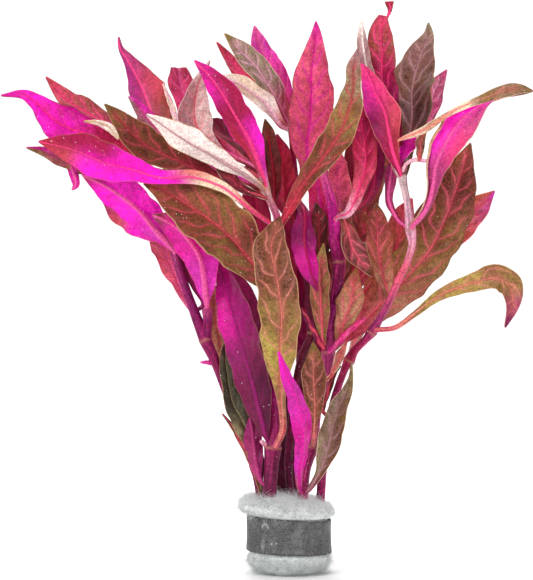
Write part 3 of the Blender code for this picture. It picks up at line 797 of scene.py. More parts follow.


# Each stem's fourth entry is the rim colour painted down its lit side as a painted highlight; the
# fifth is where that side lies, in degrees
STEMS = (
    Stem("stem_left", (
        (-7.5, 6, -1, 1.6), (-9.3, 24.5, -0.5, 1.6), (-12.2, 38, 0, 1.5), (-14.6, 44.5, 0.3, 1.5),
        (-17.4, 51.5, 0, 1.6), (-21, 61, -1.5, 1.7), (-24.5, 70, -4.5, 1.7), (-28, 77.5, -6.5, 2.0),
        (-33, 90.5, -6, 1.5), (-38, 105.5, -4, 1.4),
        (-39.5, 115.5, 0, 1.3), (-40.5, 125.5, 3, 1.2), (-41, 135.5, 5, 1.0),
    ), (T.BERRY, T.BERRY, T.PLUM, T.BERRY, T.PLUM, T.MAUVE, T.MAUVE), T.MAUVE, 200, (7,), (
        (-27.5, 76.5, -6.5, 1.5), (-27.3, 81, -7.3, 1.5), (-27.2, 85, -8, 1.6),
        (-27.4, 88, -8.5, 1.9),
    )),
    Stem("stem_centre_left", (
        (-5, 6, -5, 2.1), (-6.5, 24, -5, 2.3), (-6, 35, -6, 2.4), (-5.5, 41.5, -6, 2.7),
        (-5, 47.5, -6, 2.0), (-5, 57.5, -5, 1.8), (-3.5, 75, -4, 1.6), (-2.5, 90.5, -4, 1.5),
        (-2.8, 105, -5, 1.4), (-4, 118, -6, 1.3), (-6.5, 124, -7.5, 1.2), (-8, 127.5, -8.5, 1.6),
        (-9, 135.5, -9, 1.1),
    ), (T.DUSK, T.DUSK, T.BERRY, T.MAGENTA, T.CRIMSON, T.PINK, T.CREAM), T.MAUVE, 200, (3, 11)),
    Stem("stem_centre_thin", (
        (0.5, 6, 5, 1.3), (0.5, 24.5, 5, 1.3), (-0.2, 36, 5, 1.3), (0.5, 45.5, 5, 1.4),
        (2.5, 64, 6, 1.3), (4.5, 72.5, 6.5, 1.3), (7.5, 79.5, 7, 1.5), (6.5, 94, 8, 1.1),
        (3.5, 110.5, 8.5, 1.1), (2.5, 124, 9, 1.3), (1.5, 137.5, 9, 1.0), (0.5, 147.5, 8, 0.9),
    ), (T.DUSK, T.DUSK, T.WINE, T.WINE, T.BERRY, T.CRIMSON), T.MAUVE, 200, (6,)),
    Stem("stem_centre_right", (
        (4, 6, -3, 1.7), (4.5, 24, -3, 1.8), (5.5, 34, -3, 1.7), (7.5, 41.5, -2, 2.0),
        (9.5, 54, 0, 1.4), (12.5, 65.5, 2, 1.2), (13, 73, 3, 2.2), (14, 84, 3, 2.2),
        (15.5, 90.5, 3, 2.1), (16.5, 99, 3, 2.0), (16.5, 103.5, 3, 2.2), (15.5, 110.5, 2, 1.9),
        (15, 117.5, 2, 1.9), (14, 124, 1, 1.7), (12, 130.5, 0, 1.4), (11, 135.5, 0, 1.2),
    ), (T.DUSK, T.BERRY, T.BERRY, T.PLUM, T.MAUVE, T.PLUM, T.BERRY, T.MAGENTA, T.PINK), T.PINK, -10,
        (3, 6, 10)),
    Stem("stem_right", (
        (8.5, 6, 2, 1.4), (10.5, 25, 2, 1.5), (11, 32.5, 3, 1.5), (13.5, 50.5, 4, 1.4),
        (15.5, 59, 5, 1.3), (18.5, 67.5, 5, 1.3), (20, 70.5, 5, 1.8), (22, 74, 4, 1.4),
        (25.5, 77.5, 3, 1.3), (27.5, 80, 2, 1.7), (30, 84, 0, 1.3), (33.5, 90.5, -2, 1.2),
        (36.5, 97.5, -4, 1.2), (39, 102.5, -5, 1.2), (41, 109, -6, 1.3), (40.5, 114, -6, 1.7),
        (39.5, 122.5, -6, 1.2), (38.5, 127.5, -5, 1.2), (37.5, 132.5, -5, 1.6),
    ), (T.BERRY, T.BERRY, T.BERRY, T.BERRY, T.CRIMSON, T.MAUVE, T.ROSE, T.PALE_PINK, T.WHITE_PINK),
        T.PINK, -10, (6, 9, 15, 18)),
)

LEAVES = (
    # Left side
    Leaf("leaf_left_outermost", "stem_left", "leaf_coral", Side.UPPER, -20, 12, (
        (-43, 136.5, 3, 1.8), (-46.5, 138, 0, 2.4), (-56.5, 141.5, -6, 8), (-68, 146, -12, 12.5),
        (-75.5, 149, -14, 13), (-80.5, 152.7, -15.5, 9.5), (-84, 156.3, -16.5, 6),
        (-88.5, 159, -17.5, 3.6), (-96, 158.8, -20, 0.6),
    ), Look((T.RED, T.ROSE, T.DEEP_PINK, T.HOT_MAGENTA, T.HOT_MAGENTA, T.HOT_MAGENTA), T.DEEP_PINK,
        T.BROWN, curls=(0, 80), side_veins=0.5)),
    Leaf("leaf_left_upper_red", "stem_left", "leaf_coral", Side.UPPER, -25, 12, (
        (-42.5, 138, 6, 1.8), (-56.5, 144, 8, 5), (-63, 150.5, 13, 7), (-73, 156.5, 17, 7),
        (-81, 165, 19, 0.6),
    ), Look((T.RED, T.CRIMSON, T.RUST, T.CORAL), T.DEEP_PINK, T.BROWN)),
    Leaf("leaf_left_hot_pink", "stem_centre_left", "leaf_magenta", Side.UNDER, 15, 10, (
        (-5.5, 115, -8, 1.6), (-13, 121, -18, 1.8), (-21.5, 128, -23, 3.5), (-31.5, 131.5, -25, 5),
        (-42, 131.5, -26, 4.5), (-47, 132.5, -26, 6), (-53, 134.5, -26, 9),
        (-61.5, 136.5, -27, 13.5), (-69.5, 140, -28, 12), (-76.5, 142, -29, 7),
        (-83.5, 143.5, -29, 0.6),
    ), Look((T.RED, T.CORAL, T.SALMON, T.CREAM, T.CREAM, T.HOT_MAGENTA, T.HOT_MAGENTA,
        T.HOT_MAGENTA,
        T.HOT_MAGENTA, T.CORAL, T.RED), T.DEEP_PINK, T.RUST, (T.BROWN,),
        (T.RED, T.CORAL, T.SALMON, T.CREAM, T.SALMON, T.HOT_MAGENTA, T.HOT_MAGENTA, T.CRIMSON,
         T.CRIMSON, T.RED), side_veins=0.5, net=0.3, rib=0.6, wave=1.6)),
    Leaf("leaf_left_pink_underside", "stem_left", "leaf_pink", Side.UNDER, 18, 12, (
        (-38.5, 107.5, -6, 1.8), (-44.5, 114, -9, 8), (-49.5, 120, -12, 12), (-55.5, 125, -15, 12),
        (-62.5, 129.5, -18, 8), (-69, 132.5, -21, 0.6),
    ), Look((T.MAGENTA, T.ORCHID, T.HOT_MAGENTA, T.HOT_MAGENTA, T.CRIMSON), T.PINK, T.MAGENTA,
        (T.BROWN,), side_veins=0.5, net=0.2, rib=1.5)),
    Leaf("leaf_left_low_round", "stem_left", "leaf_purple", Side.UNDER, 25, 10, (
        (-40, 112, 1.5, 1.6), (-45.5, 113, 5, 6), (-51.5, 117, 9, 9.5), (-57, 120.5, 13, 9.5),
        (-62.5, 124.5, 16, 0.6),
    ), Look((T.PINK, T.MAGENTA, T.HOT_MAGENTA, T.CORAL, T.PLUM), T.PINK, T.TAN, (T.BROWN,),
        (T.HOT_MAGENTA, T.MAGENTA, T.MAGENTA, T.PLUM), side_veins=0.5)),
    Leaf("leaf_left_hanging", "stem_left", "leaf_pink", Side.UPPER, -20, 12, (
        (-33, 88, -4, 1.8), (-36.5, 95.5, 0, 5), (-40, 103.5, 5, 7.5), (-43.5, 110, 10, 6),
        (-46, 115.5, 14, 0.6),
    ), Look((T.PINK, T.ROSE, T.CORAL, T.CORAL), T.PINK, T.RED)),
    Leaf("leaf_left_small_tip", "stem_left", "leaf_magenta", Side.UPPER, -10, 10, (
        (-43, 133.5, 2, 1.6), (-56.5, 134.5, -8, 5), (-68, 135.5, -17, 6), (-76.5, 138, -22, 5.5),
        (-81.5, 140, -24, 3.5), (-87.5, 141.5, -26, 0.6),
    ), Look((T.SALMON, T.SALMON, T.OLIVE), T.PINK, T.BROWN, right=(T.MAGENTA, T.MAGENTA))),
    Leaf("leaf_left_tall_purple", "stem_left", "leaf_purple", Side.UNDER, 25, 12, (
        (-41, 138, 7, 2), (-43.5, 145, 10, 12), (-45.5, 152.5, 14, 13.5), (-48, 159.5, 19, 12.5),
        (-50.8, 165.5, 23, 8), (-53.6, 170.5, 26, 4.4), (-56, 174.3, 28, 1.9),
        (-56.8, 178.3, 30, 0.6),
    ), Look((T.RED, T.CRIMSON, T.MAUVE, T.VIOLET, T.VIOLET, T.PLUM), T.DEEP_PINK, T.RUST,
        (T.BROWN,), (T.BROWN, T.OCHRE, T.RUST, T.CORAL, T.MAUVE, T.PLUM), net=0.8, wave=1.5)),
    Leaf("leaf_left_sliver", "stem_centre_left", "leaf_magenta", Side.UPPER, -15, 10, (
        (-10.5, 128.5, -7, 1.6), (-21.5, 132.5, -6, 3), (-33, 138, -5, 5), (-43, 146.5, -5, 5.5),
        (-49, 153.5, -6, 4.5), (-53.5, 158.5, -8, 0.6),
    ), Look((T.CORAL, T.GREY_PINK, T.GREY_PINK), T.PINK, T.BROWN, right=(T.HOT_MAGENTA,
        T.HOT_MAGENTA))),
    Leaf("leaf_white_underside", "stem_centre_left", "leaf_pale", Side.UNDER, 20, 12, (
        (-9.5, 128, -12, 1.6), (-13, 131.5, -16, 2.5), (-19, 135, -20, 4.5),
        (-26.5, 139.5, -23, 7.5),
        (-33, 143, -24.5, 9), (-38.5, 146.5, -25, 7.5), (-43.5, 150, -25.5, 4),
        (-47.5, 152.5, -26, 0.6),
    ), Look((T.YELLOW, T.WHITE_PINK, T.WHITE_PINK, T.WHITE_PINK, T.WHITE_PINK), T.GREY_PINK, T.TAN,
        (T.BROWN,), net=0.3, side_veins=0.6, wave=1.4)),
    Leaf("leaf_left_brown", "stem_centre_left", "leaf_brown", Side.UPPER, -15, 12, (
        (-10.5, 126.5, -8, 1.6), (-18, 128.5, -10, 3), (-26.5, 131.5, -11.5, 6),
        (-34.5, 136, -12, 9), (-41.5, 139, -12.5, 10), (-48, 142.5, -12.5, 11),
        (-53.5, 147.5, -13, 9), (-58, 152.5, -13.5, 4.5), (-61.5, 156, -14, 0.6),
    ), Look((T.WINE, T.WINE, T.RED_BROWN, T.BROWN, T.BROWN, T.OLIVE), T.CORAL, T.TAN)),
    Leaf("leaf_big_brown", "stem_centre_left", "leaf_brown", Side.UPPER, -12, 14, (
        (-5.5, 94.5, -8, 2), (-8.5, 98.5, -11, 8), (-13, 104, -14, 13.5), (-20.5, 112.5, -18, 18.5),
        (-28, 118.5, -20, 19), (-35.5, 123.5, -20, 14.5), (-42.5, 127.5, -20, 8),
        (-48.5, 129.5, -20, 0.6),
    ), Look((T.RED_BROWN, T.BROWN, T.OLIVE, T.BROWN, T.BROWN, T.OCHRE), T.CORAL, T.TAN, net=0.6,
        right=(T.BROWN, T.OLIVE, T.BROWN, T.OLIVE, T.BROWN, T.CORAL), wave=1.2)),
    Leaf("leaf_magenta_cup", "stem_left", "leaf_magenta", Side.UNDER, 10, 16, (
        (-27.5, 90, -10, 2.2), (-28, 94, -12, 6), (-28.5, 99, -13, 9), (-30, 105.5, -14, 12),
        (-36, 113.5, -15, 11), (-41, 117, -15.5, 6), (-45.5, 119, -15.5, 0.6),
    ), Look((T.PINK, T.ORCHID, T.ORCHID, T.MAGENTA, T.MAGENTA, T.BROWN), T.PINK, T.CORAL,
        (T.BROWN,), side_veins=0.4, net=0.2, rib=1.5)),
    Leaf("leaf_purple_front", "stem_centre_left", "leaf_purple", Side.UNDER, 8, 12, (
        (-8.3, 44.5, -9, 1.8), (-8.8, 49.5, -9.5, 5.2), (-10.3, 55, -10, 9),
        (-12.5, 64, -10.5, 11.5),
        (-15.3, 74, -11, 12),
        (-18.5, 85.5, -10, 11.5), (-21, 95.5, -8, 7.5), (-24, 104.5, -6, 0.6),
    ), Look((T.DUSK, T.DUSK, T.DUSK, T.PLUM, T.MAGENTA, T.MAGENTA, T.BERRY), T.PLUM, T.UMBER,
        (T.DARK_BROWN,), (T.DUSK, T.NIGHT, T.NIGHT, T.DUSK, T.PLUM, T.PLUM, T.MAGENTA), net=0.3)),
    Leaf("leaf_purple_back", "stem_centre_left", "leaf_purple", Side.UNDER, -15, 12, (
        (-6.5, 50, -3, 1.8), (-9.5, 62.5, -1, 8), (-12.5, 75.5, 2, 10), (-14, 87.5, 4, 10),
        (-17, 95.5, 6, 7), (-21.5, 103.5, 8, 0.6),
    ), Look((T.DUSK, T.DUSK, T.BERRY, T.BERRY), T.PLUM, T.PLUM, (T.DARK_BROWN,))),
    Leaf("leaf_low_dark", "stem_left", "leaf_olive", Side.UPPER, -20, 14, (
        (-9.6, 28, -3.2, 1.6), (-10.8, 36, -3.6, 4.5), (-12.9, 44, -4, 6.5),
        (-15.6, 50.5, -4.5, 7.2),
        (-18.6, 56, -5.3, 6.4), (-20, 62, -5.8, 5.4), (-20.8, 68, -6.2, 4.8),
        (-21.5, 73.5, -6.2, 3),
        (-21.2, 77, -6, 0.6),
    ), Look((T.RUST, T.RUST, T.GREY_OLIVE, T.SLATE, T.SLATE, T.DARK_BROWN), T.GREY_OLIVE, T.TAN,
        right=(T.SLATE, T.SLATE, T.SLATE, T.SLATE, T.DARK_BROWN), side_veins=0.4)),
    Leaf("leaf_low_small_purple", "stem_centre_left", "leaf_purple", Side.UNDER, 0, 10, (
        (-9.9, 30, -6.8, 1.3), (-10.7, 34.5, -7, 3.6), (-11.7, 41.5, -7, 6.2),
        (-12.3, 47, -7.2, 5.2),
        (-13.2, 51.5, -7.4, 0.6),
    ), Look((T.MAUVE, T.MAUVE, T.PLUM), T.MAUVE, T.MAUVE, (T.DARK_BROWN,), (T.PLUM, T.DUSK),
        side_veins=0.5)),
    # Centre front
    Leaf("leaf_centre_front", "stem_centre_left", "leaf_brown", Side.UPPER, 12, 18, (
        (-4, 42, -10, 2), (-2, 47.5, -15, 2.2), (-2.5, 57.5, -24, 2.8), (-3, 64.5, -28, 5.5),
        (-3, 73.5, -32, 11.5), (-2.5, 85.5, -34, 13.5), (-4, 97.5, -33, 13), (-6, 107.5, -30, 11.5),
        (-4.5, 114, -27, 6), (-3, 118.5, -25, 0.6),
    ), Look((T.PINK, T.SALMON, T.SALMON, T.GREEN, T.GREEN, T.OLIVE, T.BROWN, T.BROWN, T.BROWN),
        T.SALMON, T.TAN, right=(T.PINK, T.CORAL, T.TAN, T.GREEN, T.OLIVE, T.BROWN, T.BROWN,
        T.BROWN))),
    Leaf("leaf_low_magenta", "stem_centre_right", "leaf_magenta", Side.UNDER, -20, 14, (
        (2.5, 28, -7, 1.8), (3.5, 34, -14, 3), (4.5, 40.5, -22, 5), (4.5, 49, -30, 6.3),
        (2.5, 57.5, -36, 5.8), (-0.5, 64.5, -40, 4), (-3.5, 73.5, -43, 0.6),
    ), Look((T.SALMON, T.ORCHID, T.MAGENTA, T.ORCHID, T.HOT_MAGENTA), T.MAGENTA,
        T.MAGENTA, (T.DARK_BROWN,), (T.TAN, T.MAGENTA, T.MAGENTA, T.ORCHID, T.HOT_MAGENTA),
        side_veins=0.6, net=0.2)),
    Leaf("leaf_low_centre_pink", "stem_centre_right", "leaf_pink", Side.UPPER, 0, 12, (
        (8.5, 43, -6.5, 1.7), (8.4, 48.5, -12, 2.2), (8.6, 56, -14.5, 5.5), (8.2, 65, -17, 8.3),
        (8.4, 71, -18.5, 5.6), (8, 76.5, -19, 0.6),
    ), Look((T.PALE_PINK, T.ROSE, T.BROWN, T.BROWN, T.BROWN, T.OLIVE), T.SALMON, T.TAN)),
    Leaf("leaf_low_right_brown", "stem_centre_right", "leaf_brown", Side.UPPER, 12, 14, (
        (7.5, 27.5, -5, 1.8), (10.2, 33, -7, 3), (12.2, 38.5, -8, 6), (13.8, 44.5, -8.2, 7.8),
        (15.2, 50, -8.5, 7.6), (17, 55.5, -8.8, 5.8), (19.2, 60, -8.3, 3.8),
        (20.6, 64.5, -7.6, 1.8),
        (20.9, 69.5, -7, 0.6),
    ), Look((T.MAUVE, T.GREY_OLIVE, T.GREY_OLIVE, T.GREY_OLIVE, T.OLIVE), T.GREY_PINK, T.CREAM,
        right=(T.MAUVE, T.BROWN, T.BROWN, T.OLIVE, T.GREY_OLIVE), wave=1.2)),
    # Top, left of the centre
    Leaf("leaf_top_magenta", "stem_centre_left", "leaf_magenta", Side.UNDER, 20, 15, (
        (-7.5, 129.5, -12, 1.8), (-9.5, 134.5, -16, 3.5), (-12.5, 142.5, -22, 7.5),
        (-17.5, 151.5, -28, 10), (-22.5, 160, -32, 8.5), (-27, 166, -34, 5),
        (-31.5, 170.5, -36, 0.6),
    ), Look((T.PALE_PINK, T.CORAL, T.RED, T.CRIMSON, T.MAGENTA, T.MAGENTA), T.DEEP_PINK, T.MAGENTA,
        (T.BROWN,), (T.PALE_PINK, T.ORCHID, T.HOT_MAGENTA, T.CRIMSON, T.CRIMSON, T.MAGENTA),
        side_veins=0.6)),
    Leaf("leaf_top_white_curl", "stem_centre_thin", "leaf_pale", Side.UNDER, 25, 14, (
        (0, 147, 4, 1.6), (-3, 149.5, -3, 2.6), (-8, 156.5, -11, 5.5), (-13, 160.5, -16, 5.5),
        (-18, 163.5, -20, 4.5), (-24.5, 165.5, -23, 0.6),
    ), Look((T.RED, T.CORAL, T.WHITE_PINK, T.CREAM, T.WHITE_PINK), T.PALE_PINK, T.CREAM,
        (T.BROWN,), net=0.2)),
    Leaf("leaf_top_olive", "stem_centre_thin", "leaf_olive", Side.UPPER, -18, 12, (
        (-0.5, 149.5, 5, 1.8), (-3, 155.5, 0, 5.5), (-7, 162.5, -4, 8), (-11.5, 169, -8, 8),
        (-16.5, 174, -11, 6), (-21.5, 179.5, -14, 0.6),
    ), Look((T.CORAL, T.CORAL, T.GREY_OLIVE, T.GREY_OLIVE, T.OLIVE), T.PALE_PINK, T.CREAM)),
    Leaf("leaf_top_pink", "stem_centre_thin", "leaf_pink", Side.UPPER, -20, 14, (
        (1.5, 150.5, 7, 1.8), (-0.5, 159, 8, 4.5), (-4.5, 165.5, 11, 7), (-8.5, 172.5, 14, 7),
        (-10.5, 177.5, 16, 4.5), (-11.5, 182, 18, 0.6),
    ), Look((T.RED, T.CORAL, T.MAGENTA, T.MAGENTA, T.ORCHID, T.PINK), T.PINK, T.MAGENTA)),
    Leaf("leaf_top_red", "stem_centre_thin", "leaf_coral", Side.UPPER, -25, 12, (
        (0, 149, 11, 1.6), (-6.5, 154.5, 15, 4), (-13, 162.5, 20, 6), (-18, 168.5, 24, 5),
        (-24, 176.5, 28, 0.6),
    ), Look((T.CRIMSON, T.CRIMSON, T.RED, T.RED), T.DEEP_PINK, T.BROWN)),
    Leaf("leaf_torn_brown", "stem_centre_left", "leaf_brown", Side.UPPER, 0, 10, (
        (-10.5, 124, -11, 1.4), (-16.5, 128.5, -14.5, 3.5), (-21, 133, -17, 4.5),
        (-24.5, 136.5, -18.5, 2),
    ), Look((T.DARK_BROWN, T.WINE, T.DARK_BROWN), T.CORAL, T.CREAM)),
    Leaf("leaf_top_grey_pink", "stem_centre_left", "leaf_pink", Side.UPPER, -15, 12, (
        (-10.5, 131.5, -6.5, 1.5), (-19.5, 136, -2, 3.5), (-28, 143.5, 0, 7),
        (-31.5, 151.5, -1, 11.5),
        (-31, 159, -4, 7.5), (-29.5, 164.5, -7, 4), (-26.5, 170.5, -9, 0.6),
    ), Look((T.RED, T.CORAL, T.GREY_PINK, T.GREY_PINK, T.WHITE_PINK), T.ROSE, T.WHITE_PINK,
        (T.BROWN,), (T.CORAL, T.GREY_PINK, T.WHITE_PINK, T.GREY_PINK), net=0.8, side_veins=0.7)),
    Leaf("leaf_top_broken", "stem_centre_left", "leaf_coral", Side.UPPER, -25, 10, (
        (-10.5, 134, -7.5, 1.4), (-20, 140, 3, 4), (-31, 147.5, 9, 6.5), (-33.5, 154.5, 12, 7.5),
        (-36, 162.5, 15, 9), (-37, 168, 17, 5),
    ), Look((T.WINE, T.RED, T.RED, T.DEEP_PINK, T.RED), T.PINK, T.BROWN)),
    Leaf("leaf_back_crimson", "stem_centre_left", "leaf_crimson", Side.UNDER, 20, 12, (
        (-10, 138.5, -6.5, 1.6), (-14.5, 142, 3, 8), (-20.5, 144.5, 10, 10.5),
        (-25.5, 147.5, 15, 8.5),
        (-29.5, 151, 18, 0.6),
    ), Look((T.CRIMSON, T.RED_BROWN, T.WINE, T.WINE), T.CRIMSON, T.WINE, (T.DARK_BROWN,))),
    Leaf("leaf_back_dark_strip", "stem_centre_left", "leaf_crimson", Side.UPPER, -10, 12, (
        (-5, 122, -4, 1.6), (-5, 131, -3, 5), (-6, 139, -3, 5.5), (-7, 146, -4.5, 4.5),
        (-8, 151, -5, 0.6),
    ), Look((T.WINE, T.RED_BROWN, T.DARK_BROWN, T.BROWN), T.RED, T.WINE, side_veins=0.5)),
    # Top centre
    Leaf("leaf_centre_crimson", "stem_centre_thin", "leaf_crimson", Side.UPPER, 15, 12, (
        (1.5, 116, 5, 1.6), (-1.2, 123, 5, 6.5), (-1.8, 131, 5, 8.5), (-2.5, 139, 5, 7),
        (-4, 146, 5, 0.6),
    ), Look((T.CRIMSON, T.CRIMSON, T.RED, T.CRIMSON), T.RED, T.WINE)),
    Leaf("leaf_top_coral", "stem_centre_thin", "leaf_coral", Side.UPPER, -12, 12, (
        (4, 128, 5, 2), (6, 135, 1, 5), (6, 142.5, -2, 11), (7, 150.5, -4, 15),
        (7.5, 159, -6, 14.5), (7.5, 166.5, -7.5, 11.5), (8.5, 174, -8.5, 7), (9, 179.5, -9, 3.5),
        (9, 183.5, -9, 0.6),
    ), Look((T.CRIMSON, T.RUST, T.ROSE, T.ROSE, T.ROSE, T.ROSE, T.MAGENTA), T.MAGENTA,
        T.BROWN)),
    Leaf("leaf_diagonal_brown", "stem_centre_left", "leaf_brown", Side.UPPER, 15, 14, (
        (-2, 115.5, -9, 1.8), (0.5, 121.5, -13, 3.5), (4.5, 129, -15.5, 5.5),
        (11, 137.5, -17.5, 8), (17, 146.5, -18.5, 10), (20, 154, -18.5, 9.5),
        (21.5, 162.5, -17, 5), (21.5, 168, -15.5, 4.5), (23, 174.5, -14, 0.6),
    ), Look((T.CRIMSON, T.RED, T.BROWN, T.BROWN, T.OLIVE, T.GREY_OLIVE, T.GREY_PINK), T.CORAL,
        T.TAN, wave=1.2)),
    Leaf("leaf_hanging_purple", "stem_centre_thin", "leaf_purple", Side.UNDER, 20, 12, (
        (4.5, 124, 5, 1.6), (5.2, 118.5, -1, 5), (5, 110.5, -3.5, 8), (6.5, 102.5, -5, 7),
        (9.5, 93.5, -6, 0.6),
    ), Look((T.BERRY, T.BERRY, T.PLUM, T.MAGENTA, T.PLUM), T.CRIMSON, T.PLUM, (T.DARK_BROWN,),
        side_veins=0.4, net=0.2)),
    Leaf("leaf_centre_olive", "stem_centre_right", "leaf_olive", Side.UPPER, 15, 12, (
        (11, 77, 0, 1.6), (11, 84, -1.5, 4.5), (10.5, 91, -2.5, 6.5), (10.5, 100.5, -2, 5.5),
        (11.5, 109.5, -1, 0.6),
    ), Look((T.BROWN, T.OLIVE, T.OLIVE, T.OLIVE, T.OLIVE), T.ROSE, T.TAN)),
    Leaf("leaf_back_purple", "stem_centre_right", "leaf_purple", Side.UNDER, 20, 12, (
        (14, 108, 6, 1.8), (11, 115.5, 11, 7), (10.5, 124, 15, 8.5), (9.5, 132.5, 19, 7.5),
        (10.5, 140.5, 22, 0.6),
    ), Look((T.RED_BROWN, T.CRIMSON, T.DEEP_PINK, T.CORAL), T.MAGENTA, T.PLUM, (T.DARK_BROWN,))),
    Leaf("leaf_back_salmon", "stem_centre_right", "leaf_pink", Side.UPPER, -20, 12, (
        (18, 107, 6, 1.8), (17.5, 115.5, 8, 6), (16.5, 125.5, 10, 7.5), (16, 135.5, 12, 6.5),
        (14.5, 144, 14, 0.6),
    ), Look((T.BROWN, T.RUST, T.ROSE, T.ROSE), T.PINK, T.TAN)),
    Leaf("leaf_hanging_dark", "stem_centre_right", "leaf_brown", Side.UPPER, 20, 12, (
        (17.5, 121, 4, 1.6), (19.5, 114.5, 1, 4), (21, 108.5, -2, 8), (24, 103.5, -5, 6),
        (27.5, 98.5, -8, 0.6),
    ), Look((T.DARK_BROWN, T.BROWN, T.DARK_BROWN, T.BROWN), T.ROSE, T.TAN)),
    # Right side
    Leaf("leaf_right_tall_pink", "stem_right", "leaf_pink", Side.UNDER, -15, 12, (
        (36.5, 134, -8, 1.8), (34.5, 140, -11, 5), (33, 147.5, -13, 9.5), (31.5, 154, -14.5, 11),
        (28.5, 160, -16, 9), (26.5, 165, -17.5, 5), (24, 169.5, -20, 0.6),
    ), Look((T.BERRY, T.CRIMSON, T.BERRY, T.MAGENTA, T.DEEP_PINK), T.DEEP_PINK, T.SALMON,
        (T.BROWN,), (T.CRIMSON, T.RED, T.CORAL, T.DEEP_PINK, T.DEEP_PINK), side_veins=0.7)),
    Leaf("leaf_right_inner_coral", "stem_centre_right", "leaf_coral", Side.UPPER, 15, 12, (
        (16.5, 118, -1.5, 1.6), (20, 120, -5, 3), (23.5, 128, -7, 5), (25.5, 135.5, -8, 7),
        (25, 144.5, -9, 8), (23.5, 152.5, -10, 5), (23, 158, -10.5, 0.6),
    ), Look((T.PALE_PINK, T.PALE_PINK, T.ROSE, T.RED, T.CRIMSON, T.CRIMSON), T.DEEP_PINK,
        T.BROWN)),
    Leaf("leaf_top_right_tall", "stem_right", "leaf_coral", Side.UPPER, 15, 12, (
        (37.5, 136.5, -4.5, 1.6), (35, 147.5, -4, 6), (32.5, 157.5, -6, 8.5), (31, 165.5, -8, 9.5),
        (31, 173.5, -9, 9), (30.5, 180, -10, 7.5), (31.5, 185.5, -11, 3),
    ), Look((T.CRIMSON, T.CRIMSON, T.CRIMSON, T.BERRY, T.CRIMSON, T.RUST, T.CORAL), T.DEEP_PINK,
        T.BROWN)),
    Leaf("leaf_top_right_pale", "stem_right", "leaf_pale", Side.UNDER, -20, 10, (
        (34.5, 134.5, -5.5, 1.4), (31.5, 147, -8.5, 2.5), (27.5, 160, -10, 4), (25.5, 169, -11, 5),
        (24.5, 176.5, -11.5, 4), (24, 184, -12, 0.6),
    ), Look((T.CRIMSON, T.BERRY, T.MAUVE, T.RUST, T.GREY_PINK, T.GREY_PINK, T.WHITE_PINK),
        T.WHITE_PINK, T.CREAM, (T.BROWN,), net=0.8)),
    Leaf("leaf_right_tall_brown", "stem_right", "leaf_brown", Side.UPPER, 25, 12, (
        (40.5, 135, -4, 1.6), (40, 144, 2, 6.5), (41, 152.5, 6, 13), (41, 160.5, 11, 14.5),
        (42.5, 167.5, 15, 12), (44.5, 174, 18, 8), (46.5, 179, 20, 3.5), (46.5, 183, 22, 0.6),
    ), Look((T.BROWN, T.BROWN, T.DARK_BROWN, T.BROWN, T.UMBER, T.GREY_OLIVE), T.GREY_PINK,
        T.OLIVE)),
    Leaf("leaf_right_twisted", "stem_right", "leaf_magenta", Side.UNDER, -10, 14, (
        (41.5, 115.5, -9, 1.8), (44, 118.5, -11, 2.2), (46.5, 123, -13, 3.2), (48, 129, -14, 5),
        (49, 135.5, -15, 8.5), (52, 142.5, -16, 12), (56.5, 149.5, -16.5, 12.5),
        (62, 154, -16.5, 8.5), (68.5, 158.2, -15.5, 5.6), (75, 160.6, -15, 5.2),
        (81, 160.2, -14.5, 0.6),
    ), Look((T.PINK, T.PLUM, T.MAUVE, T.HOT_MAGENTA, T.HOT_MAGENTA, T.HOT_MAGENTA, T.HOT_MAGENTA),
        T.PINK, T.TAN, (T.TAN, T.CREAM, T.TAN, T.SALMON, T.OLIVE),
        (T.PINK, T.MAUVE, T.MAUVE, T.DEEP_PINK, T.PINK, T.ORCHID, T.HOT_MAGENTA),
        side_veins=0.7, net=0.4, curls=(175, 0)), twist=400),
    Leaf("leaf_right_narrow_purple", "stem_right", "leaf_purple", Side.UNDER, 20, 10, (
        (37.5, 115.5, -3.5, 1.6), (36, 118, -2.5, 1.6), (33.5, 123, -2, 2.2),
        (33.5, 129, -2.5, 3.6),
        (34.5, 135.5, -1.5, 3.4), (35.5, 140.5, 0, 0.6),
    ), Look((T.CRIMSON, T.CRIMSON, T.MAUVE, T.MAUVE, T.BERRY), T.PINK, T.PLUM,
        (T.DARK_BROWN,))),
    Leaf("leaf_right_drooping", "stem_right", "leaf_olive", Side.UPPER, 20, 12, (
        (30, 80, -1.5, 1.6), (35.5, 81.5, -5, 1.6), (42, 86, -9, 2), (50, 92, -12, 3.5),
        (57, 95, -13, 5), (63.5, 97, -13, 7), (69.5, 98, -13, 9), (73.5, 95, -12.5, 8),
        (74.5, 89.5, -12, 5), (72, 81.5, -12, 0.6),
    ), Look((T.DEEP_PINK, T.DEEP_PINK, T.SALMON, T.OLIVE, T.GREEN, T.GREEN, T.GREEN, T.OLIVE,
        T.OLIVE, T.MAUVE, T.PLUM), T.SALMON, T.TAN)),
    Leaf("leaf_right_big_brown", "stem_centre_right", "leaf_brown", Side.UPPER, 20, 12, (
        (15, 74.5, 6, 1.8), (18.5, 77.5, 9, 3), (25, 83.5, 12, 8), (32.5, 91, 15, 13),
        (40, 99, 17, 16), (47, 107.5, 18, 17), (51.5, 116.5, 18, 17), (55.5, 127, 17, 14.5),
        (58.5, 136.5, 16, 7), (60.5, 143, 15, 0.6),
    ), Look((T.PINK, T.ROSE, T.OCHRE, T.OLIVE, T.BROWN, T.BROWN, T.OCHRE), T.ROSE, T.BROWN,
        right=(T.PINK, T.ROSE, T.TAN, T.OLIVE, T.OLIVE, T.BROWN, T.BROWN))),
    Leaf("leaf_right_back_outer", "stem_centre_right", "leaf_brown", Side.UPPER, 25, 12, (
        (15.5, 82, 6.5, 1.6), (22, 88, 16, 3), (32, 96, 24, 7), (44, 104, 29, 10),
        (54, 113, 32, 11.5), (62, 120.5, 34, 9), (68.5, 127, 36, 0.6),
